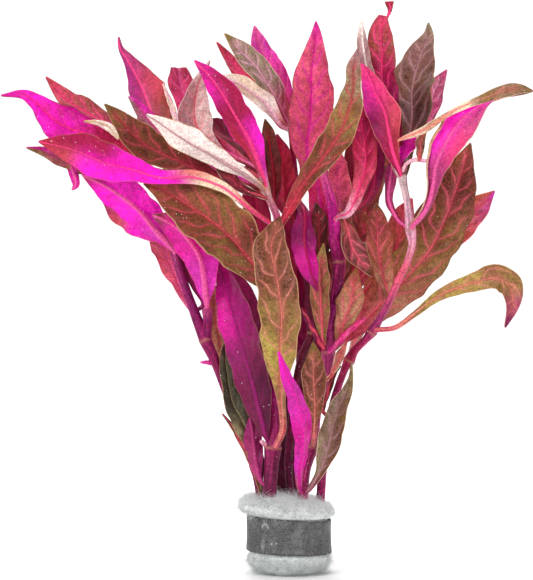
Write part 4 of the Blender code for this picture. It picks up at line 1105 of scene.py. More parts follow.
    ), Look((T.ROSE, T.CORAL, T.OCHRE, T.OCHRE, T.ORANGE), T.ROSE, T.SALMON,
        right=(T.ROSE, T.CORAL, T.OCHRE, T.ORANGE, T.ORCHID))),
    Leaf("leaf_right_back_inner", "stem_right", "leaf_brown", Side.UPPER, 25, 12, (
        (20.5, 73, 8.5, 1.8), (23, 79, 18, 3.5), (27, 88.5, 28, 8), (32.5, 99, 35, 11),
        (36.5, 110.5, 39, 11), (38.5, 119, 42, 7), (41, 124.5, 44, 0.6),
    ), Look((T.SALMON, T.TAN, T.OCHRE, T.OCHRE, T.CORAL), T.ROSE, T.BROWN)),
    Leaf("leaf_right_orange", "stem_centre_right", "leaf_coral", Side.UPPER, 15, 12, (
        (16.5, 75, 1.5, 1.6), (18, 82.5, 0, 5.5), (20.5, 89.5, 0, 9), (21.5, 95.5, 0, 6),
        (22.5, 101.5, 0, 0.6),
    ), Look((T.OCHRE, T.TAN, T.OCHRE), T.ROSE, T.BROWN)),
    Leaf("leaf_right_coral", "stem_right", "leaf_coral", Side.UPPER, -20, 12, (
        (32.5, 92.5, 1.5, 1.8), (31, 100, 5, 7), (29.5, 109, 6, 9.5), (29.5, 116.5, 6, 7),
        (29, 123, 6, 0.6),
    ), Look((T.OCHRE, T.TAN, T.OCHRE, T.RUST, T.OCHRE), T.ROSE, T.BROWN)),
    Leaf("leaf_right_green", "stem_centre_right", "leaf_olive", Side.UPPER, 25, 12, (
        (18, 102, 6.5, 1.8), (21, 109, 12, 4), (24.5, 116.5, 17, 7.5), (27, 127.5, 22, 9),
        (30.5, 136.5, 25, 7), (33, 144, 27, 0.6),
    ), Look((T.BROWN, T.RED_BROWN, T.BROWN, T.BROWN), T.CORAL, T.BROWN)),
)

# What peeps out between the leaves past the 60 solids
SLIVERS = (
    Sliver("sliver_tan", "stem_left", "leaf_pink", Side.UPPER, 10, 10, (
        (-20.3, 64, 1, 1.6), (-23, 76, 2, 5.5), (-25, 86.7, 2, 6), (-24.7, 95.7, 2, 0.6),
    ), Look((T.SALMON, T.TAN, T.SALMON), T.CORAL, T.BROWN)),
    Sliver("sliver_dark_crimson", "stem_centre_thin", "leaf_crimson", Side.UPPER, 0, 10, (
        (0, 148, 12, 1.6), (-3, 154, 13, 4.5), (-6, 160, 14, 4.5), (-8, 165, 15, 0.6),
    ), Look((T.WINE, T.CRIMSON, T.WINE), T.CRIMSON, T.WINE)),
    Sliver("sliver_pink_tip", "stem_right", "leaf_pink", Side.UPPER, 0, 10, (
        (39, 137, 2, 1.4), (41.5, 142, 16, 2), (44, 147, 23, 4), (47, 156, 24, 7),
        (49.8, 163, 25, 4.6),
        (52.6, 167.4, 26, 0.6),
    ), Look((T.PINK, T.PINK), T.PALE_PINK, T.BROWN)),
    Sliver("sliver_dark_magenta", "stem_right", "leaf_magenta", Side.UNDER, 10, 10, (
        (37.3, 136.8, -5, 1.4), (38.6, 140.3, -6, 4), (40.2, 143, -6, 5), (42.6, 145.2, -6, 1),
    ), Look((T.MAGENTA, T.HOT_MAGENTA, T.MAGENTA), T.MAGENTA, T.CREAM)),
    Sliver("sliver_dark_brown", "stem_centre_right", "leaf_brown", Side.UPPER, 0, 10, (
        (13, 100, 6, 1.6), (10.4, 106.5, 6, 6), (10, 112, 6, 6), (10, 118, 6, 5), (9, 123, 7, 0.6),
    ), Look((T.DARK_BROWN, T.DARK_BROWN), T.CORAL, T.BROWN)),
    Sliver("sliver_pale_strip", "", "leaf_pale", Side.UPPER, 0, 5, (
        (-34.4, 145.5, 8.5, 1), (-36.7, 148.5, 9, 1.4), (-39, 155, 11, 1.8), (-42, 162.7, 14, 0.6),
    ), Look((T.WHITE_PINK, T.CREAM), T.PALE_PINK, T.CREAM)),
    Sliver("sliver_top_coral", "", "leaf_coral", Side.UPPER, 0, 8, (
        (31, 149.5, -4.6, 1.2), (26.6, 157, -4.4, 1.4), (27, 166, -4, 3.5), (27.7, 176.5, -4, 0.6),
    ), Look((T.CORAL, T.CORAL), T.PINK, T.BROWN)),
    Sliver("sliver_left_curl", "", "leaf_magenta", Side.UNDER, 0, 8, (
        (-70, 139, -20, 1.4), (-73, 137.3, -20, 3), (-72, 133.3, -20, 3), (-71, 129.3, -20, 2.5),
        (-72.3, 127.3, -20, 0.6),
    ), Look((T.MAGENTA, T.MAGENTA), T.PINK, T.PINK)),
    Sliver("sliver_low_edge", "", "leaf_pale", Side.UPPER, 0, 5, (
        (-8.8, 23.8, 2, 1), (-13.5, 37.8, 4, 1.4), (-18, 47, 5, 1.6), (-22.2, 52.8, 6, 0.6),
    ), Look((T.TAN, T.RUST, T.SLATE), T.CORAL, T.CREAM)),
    Sliver("sliver_low_tan", "stem_centre_right", "leaf_coral", Side.UPPER, 0, 6, (
        (14.3, 66, -3, 1.2), (17, 72, -3, 3), (19.3, 77, -3, 0.6),
    ), Look((T.TAN, T.SALMON), T.CORAL, T.CREAM)),
    Sliver("sliver_low_brown", "stem_right", "leaf_brown", Side.UPPER, 0, 6, (
        (11.3, 53.7, 6, 1.2), (13.2, 60.7, 6, 2), (15, 66.3, 6, 1.8), (17.3, 68.7, 6, 0.6),
    ), Look((T.BROWN, T.RED_BROWN), T.CORAL, T.BROWN)),
    Sliver("sliver_arc", "", "leaf_pale", Side.UPPER, 0, 5, (
        (37.8, 133.5, -6, 1.2), (39, 136, -8, 1), (41.4, 137.2, -10, 1), (46.4, 137, -14, 1),
    ), Look((T.WHITE_PINK, T.PALE_PINK), T.PALE_PINK, T.PINK)),
    # A dark leaf behind the stems' feet, its near-black tones partly painted shade in the gap between
    # them
    Sliver("sliver_low_shade", "", "leaf_purple", Side.UNDER, 0, 8, (
        (0, 23, 8.5, 5), (-0.2, 31, 8.5, 9.5), (-0.4, 40, 9, 10), (-0.8, 51, 10, 7),
        (-1.6, 62, 11, 0.6),
    ), Look((T.WINE, T.NIGHT, T.WINE), T.DUSK, T.NIGHT)),
    # A dark leaf behind the stems' feet, its dark wine tones partly painted shade in the gap between
    # them
    Sliver("sliver_low_wine", "stem_centre_thin", "leaf_crimson", Side.UNDER, 0, 8, (
        (5.2, 38, 5, 1.4), (6, 45, 6, 3.4), (6.4, 53, 7, 3.2), (6.6, 61, 8, 0.6),
    ), Look((T.WINE, T.WINE, T.DUSK), T.DUSK, T.WINE)),
    Sliver("strip_right_cream", "", "leaf_pale", Side.UPPER, 0, 5, (
        (36, 143.7, -10.5, 0.7), (38.9, 144.9, -10, 1.5), (43, 146.4, -12, 2.2),
        (47, 148.6, -17, 2.4),
        (51, 151.4, -20, 1.8), (56.5, 154.4, -21.5, 2), (61.5, 156.6, -21, 2.6),
        (66, 158.4, -19.5, 3.2), (70, 159.8, -18, 4), (73.5, 160.8, -17, 4.4), (77.5, 161, -16, 3),
        (81.3, 160.3, -14.9, 0.6),
    ), Look((T.CREAM, T.CREAM, T.TAN, T.CREAM, T.OLIVE, T.GREY_OLIVE, T.OLIVE), T.SALMON, T.CREAM)),
    Sliver("strip_left_cream", "", "leaf_pale", Side.UPPER, 0, 5, (
        (-68.3, 150.2, -14.5, 0.6), (-63, 149.6, -15.5, 2), (-59.5, 147.7, -16, 2.8),
        (-56.7, 144.3, -15, 1),
    ), Look((T.CREAM, T.WHITE_PINK, T.CREAM), T.TAN, T.TAN)),
    Sliver("sliver_right_gap", "stem_centre_right", "leaf_crimson", Side.UPPER, 0, 8, (
        (19, 116, 13, 2), (20, 124, 14, 6), (21, 134, 15, 7), (22, 143, 16, 5), (22, 149, 16, 0.6),
    ), Look((T.BROWN, T.RED_BROWN, T.RED_BROWN), T.CRIMSON, T.WINE)),
    Sliver("sliver_olive_back", "stem_centre_right", "leaf_olive", Side.UPPER, 0, 8, (
        (13, 82, 8, 2), (14.5, 90, 9, 8), (16, 99, 10, 9), (17.5, 108, 11, 7), (18, 115, 12, 0.6),
    ), Look((T.OCHRE, T.BROWN, T.BROWN), T.ROSE, T.BROWN)),
    Sliver("sliver_centre_wine", "stem_centre_thin", "leaf_crimson", Side.UNDER, 0, 8, (
        (5, 54, 9, 1.6), (6.2, 63, 10, 6), (7, 72, 11, 9), (7, 81, 12, 9), (6, 91, 12, 7),
        (5, 99, 12, 0.6),
    ), Look((T.BERRY, T.WINE, T.BERRY, T.WINE), T.CRIMSON, T.WINE)),
    Sliver("strip_right_back", "", "leaf_brown", Side.UPPER, 0, 5, (
        (43.4, 136.8, -12, 1), (43.6, 140.5, -12, 2.6), (43.9, 144, -12, 3), (45.6, 147, -13, 1),
    ), Look((T.OCHRE, T.UMBER, T.OCHRE), T.CORAL, T.CREAM)),
    Sliver("sliver_right_fill", "stem_centre_right", "leaf_coral", Side.UPPER, 0, 8, (
        (22, 94, 10, 2), (23.5, 100, 11, 7), (24.5, 107, 12, 7.5), (25, 114, 13, 5),
        (25.5, 120, 14, 0.6),
    ), Look((T.OCHRE, T.CORAL, T.OCHRE), T.ROSE, T.BROWN)),
    Sliver("sliver_right_wine", "", "leaf_crimson", Side.UNDER, 0, 8, (
        (19.8, 119.8, -4.9, 1.4), (25, 123, -2, 3), (28, 129, -1, 5), (29, 137, 0, 6),
        (29.5, 147, 0, 6), (29, 156, 0, 0.6),
    ), Look((T.RED_BROWN, T.BERRY, T.BERRY), T.CRIMSON, T.WINE)),
    Sliver("sliver_cup_back", "stem_left", "leaf_purple", Side.UNDER, 0, 8, (
        (-28.5, 89.5, -4, 1.6), (-30.8, 96, -4, 4.5), (-33.5, 103, -3, 5), (-36.5, 110, -3, 0.6),
    ), Look((T.PLUM, T.BERRY, T.BERRY), T.PLUM, T.PLUM)),
    Sliver("sliver_gap_crimson", "stem_centre_thin", "leaf_crimson", Side.UNDER, 0, 8, (
        (3, 88, 10, 2), (2.5, 97, 11, 7), (2.5, 107, 11, 9), (1, 118, 11, 7), (0, 127, 11, 0.6),
    ), Look((T.BERRY, T.CRIMSON, T.BERRY), T.CRIMSON, T.WINE)),
    Sliver("sliver_centre_back", "stem_centre_thin", "leaf_crimson", Side.UNDER, 0, 8, (
        (-6.5, 104, 6, 1.6), (-8.8, 112, 7, 6.5), (-10.8, 121, 8, 8.5), (-12, 131, 9, 7),
        (-13, 141, 10, 0.6),
    ), Look((T.CRIMSON, T.CRIMSON, T.WINE), T.CRIMSON, T.WINE)),
    Sliver("bud_low_left", "", "leaf_magenta", Side.UPPER, 0, 5, (
        (-24.6, 69.2, -4.5, 1.6), (-26.6, 69.8, -5, 1.5), (-29.6, 69.9, -5, 0.5),
    ), Look((T.MAGENTA, T.HOT_MAGENTA), T.PINK, T.MAGENTA)),
    Sliver("stub_low_left", "", "leaf_coral", Side.UPPER, 0, 5, (
        (-6.6, 41.7, -6.5, 1.5), (-8.2, 42.7, -8, 1.5), (-9.5, 43.8, -8.6, 1.1),
    ), Look((T.CORAL, T.PALE_PINK), T.PALE_PINK, T.PINK)),
    Sliver("tip_torn_loose", "", "leaf_coral", Side.UPPER, 0, 5, (
        (32.6, 184.5, -11, 0.6), (33.6, 187.2, -11, 1.4), (33.4, 190.2, -11, 3.2),
    ), Look((T.CORAL, T.RED), T.DEEP_PINK, T.OLIVE)),
    Sliver("stalk_right_magenta", "", "leaf_magenta", Side.UPPER, 0, 5, (
        (13.4, 73.2, 1, 1.7), (16, 76, -1.5, 1.7), (20.3, 80.7, -2, 1.6), (25.6, 84.6, -1, 1.2),
    ), Look((T.MAGENTA, T.DEEP_PINK, T.DEEP_PINK), T.PINK, T.MAGENTA)),
    Sliver("stalk_centre_crimson", "", "leaf_crimson", Side.UPPER, 0, 5, (
        (11.6, 74.3, 1, 1.6), (8.6, 79.8, -1, 1.5), (6.2, 84.3, -1, 1.3), (4.2, 88, 0, 0.9),
    ), Look((T.CRIMSON, T.BERRY, T.WINE), T.CORAL, T.WINE)),
)


@dataclass
class Stems:
    """The five stems, each a tube with faint ribs, swollen where leaves and branches leave it.

    Depths and swells are shares of the radius. The last two settings place the painted highlight on a
    stem's lit edge: it starts where the cosine of the turn from that edge passes the first, and the
    second is how much of the rim colour it takes.
    """

    sides: int = 24
    ribs: int = 5
    rib_depth: float = 0.035
    ring_reach: float = 0.45
    ring_swell: float = 0.07
    swell_reach: float = 2.2
    swell: float = 0.06
    top_radius: float = 0.6
    top_rise: float = 0.5
    rim_light_from: float = 0.55
    rim_light_share: float = 0.8

    def __post_init__(self) -> None:
        """Works out the lines that the leaves start from."""
        self.finish = StemSkin().material()
        self.lines = {stem.name: stem.lines() for stem in STEMS}

    def nearest(
        self, name: str, point: np.ndarray, lower: float,
    ) -> tuple[np.ndarray, np.ndarray, float]:
        """Finds where a leaf's stalk starts.

        Args:
            name: The stem.
            point: The base of the leaf.
            lower: How far down the stem from the nearest point the stalk starts inside it.

        Returns:
            The point inside the stem, the nearest point of its line, and the stem's radius there.
        """
        line = min(
            self.lines[name], key=lambda each: np.linalg.norm(each.points - point, axis=1).min())
        index = int(np.linalg.norm(line.points - point, axis=1).argmin())
        start = int(np.clip(index - round(lower / Stem.step), 0, len(line.points) - 1))
        return line.points[start], line.points[index], float(line.sizes[index])

    def tube(self, line: Line, stem: Stem) -> tuple[np.ndarray, Faces, Values]:
        """Returns the points, faces and values of a closed tube along a line."""
        count = len(line.points)
        places = line.places()
        across, out = line.frames(np.zeros(count))
        turns = np.arange(self.sides) / self.sides
        angle = 2 * math.pi * turns
        ribbed = 1 + self.rib_depth * np.cos(self.ribs * angle)[None, :]
        knots = Line.knots(stem.rows)
        apart = np.min([
            np.linalg.norm(line.points - knots[row, :3], axis=1) for row in stem.rings], axis=0)
        ring = np.exp(-((apart / self.ring_reach) ** 2))
        swell = self.swell * np.exp(-((apart / self.swell_reach) ** 2)) + self.ring_swell * ring
        radius = line.sizes[:, None] * ribbed * (1 + swell[:, None])
        radius[-1] *= self.top_radius
        points = (line.points[:, None, :]
                  + across[:, None, :] * (np.cos(angle)[None, :] * radius)[:, :, None]
                  + out[:, None, :] * (np.sin(angle)[None, :] * radius)[:, :, None])
        points = points.reshape(-1, 3)
        faces = [face[::-1] for face in grid_faces(count, self.sides, closed=True)]
        foot, top = len(points), len(points) + 1
        points = np.vstack([
            points, line.points[0], line.points[-1] + line.tangents()[-1] * self.top_rise])
        last = (count - 1) * self.sides
        for side in range(self.sides):
            other = (side + 1) % self.sides
            faces.append((foot, side, other))
            faces.append((top, last + other, last + side))
        body = along_tones(stem.tones, places / places[-1])
        # Painted highlight: the rim colour is laid into the body tone on the side of the stem that
        # faces the light
        lit = smooth_step(self.rim_light_from, 1.0, np.cos(angle - math.radians(stem.lit)))
        lit = lit[None, :, None]
        tone = (body[:, None, :] * (1 - lit * self.rim_light_share)
                + stem.rim_light_and_streak_tone.linear() * lit * self.rim_light_share)
        tone = np.vstack([tone.reshape(-1, 3), body[0], body[-1]])
        pale = np.repeat(stem.rim_light_and_streak_tone.linear()[None, :], len(points), axis=0)
        place = np.column_stack([
            np.append(np.tile(turns, count), (0.0, 0.0)),
            np.append(np.repeat(places, self.sides), (places[0], places[-1])),
            np.append(np.repeat(ring, self.sides), (0.0, 0.0))])
        return points, faces, {"body_tone": tone, "vein_tone": pale, "stem": place}

    def build(self) -> None:
        """Makes each stem, with its branch in the same piece."""
        for stem in STEMS:
            points, faces, values = self.tube(self.lines[stem.name][0], stem)
            for line in self.lines[stem.name][1:]:
                more, more_faces, more_values = self.tube(line, stem)
                faces += [tuple(corner + len(points) for corner in face) for face in more_faces]
                points = np.vstack([points, more])
                values = {
                    key: np.concatenate([value, more_values[key]]) for key, value in values.items()}
            piece = make_piece(stem.name + "_grown", points, faces, self.finish, values)
            settle(piece, "stem", stem.name)


@dataclass
class Blade:
    """One leaf as a thin closed mesh, from the base of its stalk to its tip.

    The blade is a grid: a row of vertices for each step along its line, and half_steps columns on
    either side of the midrib. Walls, heights and reaches are in millimetres. Ragged, vein_lean,
    vein_bow and vein_shift say how uneven the margins are and how the side veins slant, bend and
    differ between the halves; wave_length is a share of the leaf's length.
    """

    leaf: Leaf
    line: Line
    steps = 72
    half_steps = 11
    wall = 0.3
    margin_wall = 0.14
    stalk_wall = 1.25
    rib_height = 0.55
    rib_base, rib_tip = 0.45, 0.12
    quilt = 0.28
    ragged, ragged_fine = 0.05, 0.012
    vein_spacing = 0.9
    vein_lean, vein_bow, vein_shift = 0.8, 0.9, 0.42
    wave_length = 0.36
    ripple = 0.22
    groove, groove_reach = 0.25, 0.8

    def __post_init__(self) -> None:
        """Works out how wide the blade is at each step, and where its columns lie."""
        leaf = self.leaf
        self.own = len(leaf.name)
        self.shares = np.linspace(0.0, 1.0, self.steps + 1)
        self.places = self.line.places()
        self.front = 1 if leaf.side is Side.UPPER else -1
        seen = math.cos(math.radians(leaf.fold)) * math.cos(math.radians(leaf.roll))
        self.half = np.maximum(self.line.sizes, LEAST_WIDTH) / (2 * seen)
        self.stalk = 1 - smooth_step(*STALK_TO_BLADE, 2 * self.half)
        self.spread = self.half / self.half.max()
        self.fade = np.sin(np.pi * np.clip(self.shares * 1.02, 0, 1)) ** 0.6
        column = np.arange(2 * self.half_steps + 1) - self.half_steps
        self.side = np.sign(column)
        self.share = np.abs(column) / self.half_steps
        self.rib_width = leaf.look.rib * (self.rib_tip + self.rib_base * (1 - self.shares) ** 0.8)

    def sections(self) -> tuple[np.ndarray, np.ndarray]:
        """Returns how far each vertex lies across from the midrib, and how far it is lifted.

        The fold bends each half up, most beside the midrib, and the curl rolls its margin.
        """
        x = np.zeros((len(self.shares), len(self.side)))
        lift = np.zeros_like(x)
        middle = (np.arange(self.half_steps) + 0.5) / self.half_steps
        for sign in (-1, 1):
            left_seen = sign * self.front < 0
            curl = math.radians(self.leaf.look.curls[0 if left_seen else 1]) * self.front
            rolled = smooth_step(ROLL_FROM, 1.05, middle)[None, :] * curl * self.fade[:, None]
            angle = math.radians(self.leaf.fold) * (1.5 - middle)[None, :] + rolled
            rag = (self.ragged * np.sin(self.places * 0.62 + 1.3 * sign + self.own)
                   + self.ragged_fine * np.sin(self.places * 1.45 + sign))
            reach = (self.half * (1 + rag * self.spread))[:, None] * (1 / self.half_steps)
            order = self.half_steps + sign * np.arange(1, self.half_steps + 1)
            x[:, order] = sign * np.cumsum(np.cos(angle) * reach, axis=1)
            lift[:, order] = np.cumsum(np.sin(angle) * reach, axis=1)
        return x, lift

    def phases(self) -> tuple[np.ndarray, float]:
        """Returns the side veins' phase, whose whole numbers lie on them, and their spacing."""
        spacing = self.vein_spacing * math.sqrt(self.places[-1])
        jitter = 0.18 * np.sin(self.places * 0.31 + self.own) + 0.1 * np.sin(self.places * 0.83)
        flat = self.half[:, None] * self.share[None, :]
        bowed = self.vein_bow * flat * self.share[None, :]
        run = self.places[:, None] - self.vein_lean * flat - bowed
        shift = np.where(self.side > 0, self.vein_shift, 0.0)[None, :]
        return run / spacing + jitter[:, None] + shift, spacing

    def relief(self, x: np.ndarray, lift: np.ndarray, phase: np.ndarray) -> np.ndarray:
        """Returns the lifts, puffed between the veins, waved and grooved along the midrib."""
        share, side = self.share, self.side
        open_blade = (1 - self.stalk)[:, None]
        loose = (self.spread * self.fade)[:, None]
        puffed = (1 - np.cos(2 * math.pi * phase)) / 2 * (4 * share * (1 - share))[None, :]
        lift = lift + self.quilt * puffed * open_blade
        swing = np.sin(2 * math.pi * self.places[:, None] / (self.places[-1] * self.wave_length)
                       + (side * 1.1)[None, :] + 1.7 * self.own)
        lift = lift + self.leaf.look.wave * swing * (share**2)[None, :] * loose
        ripple = np.sin(self.places[:, None] * 1.05 + (side * 2.0)[None, :] + 0.9 * self.own)
        lift = lift + self.ripple * ripple * (share**3)[None, :] * loose
        return lift - self.groove * np.exp(-((x / self.groove_reach) ** 2)) * open_blade

    def walls(self, x: np.ndarray) -> tuple[np.ndarray, np.ndarray]:
        """Returns the wall's thickness and the midrib's height under it at each vertex.

        The wall is thin at the margins, and round where the blade narrows to its stalk.
        """
        stalk, half = self.stalk[:, None], self.half
        thin = self.wall + (self.margin_wall - self.wall) * self.share[None, :]
        round_wall = (np.minimum(self.stalk_wall, 2 * half)[:, None]
                      * np.sqrt(1 - 0.97 * self.share**2)[None, :])
        wall = thin * (1 - stalk) + round_wall * stalk
        wall *= smooth_step(0.0, 0.04, 1.02 - self.shares)[:, None] * 0.6 + 0.4
        height = self.rib_height * self.leaf.look.rib * (1.05 - self.shares) * (1 - self.stalk)
        return wall, height[:, None] * np.exp(-((x / (self.rib_width[:, None] + 0.2)) ** 2))

    def mesh(self) -> tuple[np.ndarray, Faces, Values]:
        """Returns the leaf's points, faces and values, its upper sheet first."""
        leaf, line = self.leaf, self.line
        x, lift = self.sections()
        phase, spacing = self.phases()
        lift = self.relief(x, lift, phase)
        twist = leaf.twist * np.maximum(0.0, self.shares - TWIST_FROM)
        across, out = line.frames(np.radians(leaf.side.value + leaf.roll + twist))
        sheet = (line.points[:, None, :] + across[:, None, :] * x[:, :, None]
                 + out[:, None, :] * lift[:, :, None])
        normals = np.cross(np.gradient(sheet, axis=1), np.gradient(sheet, axis=0))
        normals /= np.maximum(np.linalg.norm(normals, axis=2), 1e-9)[:, :, None]
        wall, rib = self.walls(x)
        upper = sheet + normals * (wall / 2)[:, :, None]
        under = sheet - normals * (wall / 2 + rib)[:, :, None]
        points = np.vstack([upper.reshape(-1, 3), under.reshape(-1, 3)])
        return points, closed_faces(*x.shape), self.values(x, phase, spacing)

    def values(self, x: np.ndarray, phase: np.ndarray, spacing: float) -> Values:
        """Returns what the finish reads at each vertex, for the upper and then the under sheet.

        Args:
            x: The distance from the midrib at each vertex.
            phase: The side veins' phase at each vertex.
            spacing: The distance between side veins.

        Returns:
            The values by name.
        """
        look, shares = self.leaf.look, self.shares
        count, columns = x.shape
        left = along_tones(look.front, shares)
        right = along_tones(look.right or look.front, shares)
        rightward = smooth_step(-0.7, 0.7, self.share * np.sign(self.side * self.front))
        facing = (left[:, None, :] * (1 - rightward)[None, :, None]
                  + right[:, None, :] * rightward[None, :, None]).reshape(-1, 3)
        away = np.repeat(along_tones(look.back, shares), columns, axis=0)
        sheets = (facing, away) if self.leaf.side is Side.UPPER else (away, facing)
        both = 2 * count * columns
        blade = np.column_stack([
            x.ravel(), np.repeat(self.places, columns), np.tile(self.share, count)])
        open_blade = look.side_veins * (1 - self.stalk) * smooth_step(0.0, 1.4, self.half)
        veins = np.column_stack([
            phase.ravel(), np.full(count * columns, spacing),
            np.repeat(look.net * (1 - self.stalk), columns)])
        rib = np.column_stack([
            np.repeat(self.rib_width, columns), np.full(count * columns, -1.0),
            np.repeat(open_blade, columns)])
        return {
            "body_tone": np.vstack(sheets),
            "vein_tone": np.repeat(look.veins.linear()[None, :], both, axis=0),
            "edge_tone": np.repeat(look.edge.linear()[None, :], both, axis=0),
            "blade": np.vstack([blade, blade]),
            "veins": np.vstack([veins, veins * (1.0, 1.0, UNDER_VEINS)]),
            "rib": np.vstack([rib, rib * (1.0, -1.0, UNDER_VEINS)]),
        }


@dataclass
class Foliage:
    """Every leaf, each on a round stalk that reaches into its stem."""

    stems: Stems
    clearance: float = 0.7
    stalk_from: float = 2.2
    root_width: float = 1.4

    def __post_init__(self) -> None:
        """Makes the finish that all leaves share."""
        self.finish = LeafSkin().material()

    def line(self, leaf: Leaf) -> Line:
        """Returns the leaf's centre line, from inside its stem to its tip."""
        knots = Line.knots(leaf.rows)
        if leaf.stem:
            lower = self.stalk_from * (1 if knots[1, 2] >= knots[0, 2] else -1)
            inside, near, radius = self.stems.nearest(leaf.stem, knots[0, :3], lower)
            if leaf.stands_for:
                away = knots[0, :3] - near
                knots[0, :3] = near + away / np.linalg.norm(away) * (radius + self.clearance)
            knots = np.vstack([np.append(inside, self.root_width), knots])
        return Line.through(knots, Blade.steps)

    def build(self) -> None:
        """Makes each leaf, and then the slivers that have no solid of their own."""
        for leaf in LEAVES + SLIVERS:
            points, faces, values = Blade(leaf, self.line(leaf)).mesh()
            piece = make_piece(leaf.name + "_grown", points, faces, self.finish, values)
            settle(piece, leaf.slot, leaf.name if leaf.stands_for else None)


@dataclass
class WoolPlug:
    """The plug of mineral wool: a lumpy turned body, and loose fibres all over it."""

    rings: int = 128
    sides: int = 216
    lean: float = -1.6
    lean_from: float = 17.0
    dome_from: float = 22.0
    profile: tuple[tuple[float, float], ...] = (
        (0.0, 25.2), (4.0, 25.3), (8.0, 25.1), (11.5, 24.5), (14.0, 23.4), (15.6, 22.0), (15.9, 20.7),
        (15.0, 19.7), (13.4, 18.9), (12.9, 17.6), (12.8, 12.0), (12.8, 8.4), (13.0, 6.8), (13.5, 5.4),
        (13.3, 3.8), (12.4, 2.2), (11.0, 0.9), (9.2, 0.2), (5.0, 0.02), (0.0, 0.02),
    )

    @staticmethod
    def push(spot: Vector, up: float) -> tuple[float, float]:
        """Returns how lumpy the wool is at a spot, and how far that pushes it out.

        Args:
            spot: The place on the smooth body. Under the strip the wool is held nearly smooth.
            up: Its height, unrounded.

        Returns:
            The lump and the push.
        """
        lump = noise.noise(spot * 0.22) * 0.8 + noise.noise(spot * 0.75) * 0.35
        lump += noise.noise(spot * 1.7) * 0.35 + noise.noise(spot * 3.4) * 0.22
        if STRIP_FOOT < up < STRIP_TOP:
            return lump, lump * 0.12
        from_strip = min(abs(up - STRIP_FOOT), abs(up - STRIP_TOP))
        return lump, lump * (0.25 + 0.75 * float(smooth_step(0.0, 1.5, np.array(from_strip))))

    def body_points(self) -> np.ndarray:
        """Returns the body's points, ring by ring from the top to the foot."""
        knots = np.array([(radius, 0.0, up, 1.0) for radius, up in self.profile])
        line = Line.through(knots, self.rings - 1).points
        turns = 2 * math.pi * np.arange(self.sides) / self.sides
        points = []
        for radius, _, up in line:
            above = max(0.0, up - self.lean_from) / (self.profile[0][1] - self.lean_from)
            for turn in turns:
                spot = Vector((math.sin(turn) * radius, -math.cos(turn) * radius, up))
                lump, push = self.push(spot, up)
                reach = max(0.0, radius + push * min(1.0, radius / 3))
                rise = lump * 0.5 if up > self.dome_from else 0.0
                height = up + rise + (TOP_SLOPE * spot.x if above else 0.0)
                points.append((
                    math.sin(turn) * reach + self.lean * above, -math.cos(turn) * reach,
                    max(0.0, height)))
        return np.array(points)

    def build(self) -> None:
        """Makes the body and its fibres."""
        points = self.body_points()
        faces = grid_faces(self.rings, self.sides, closed=True)
        body = make_piece("wool_body", points, faces, Wool().material(), sharp=180.0)
        weld(body, 0.003)
        settle(body, "wool", "wool_plug")
        pale = Wool("wool_fibre", (0.98, 0.985, 0.985, 1.0), (0.58, 0.64, 0.625, 1.0))
        settle(FibreCoat(pale).grow(body, "wool_fibres"), "wool")
        wisps = FibreCoat(pale, per_square_mm=1.8, length=3.8, thickness=0.07, lift=20.0, seed=11)
        settle(wisps.grow(body, "wool_wisps"), "wool")


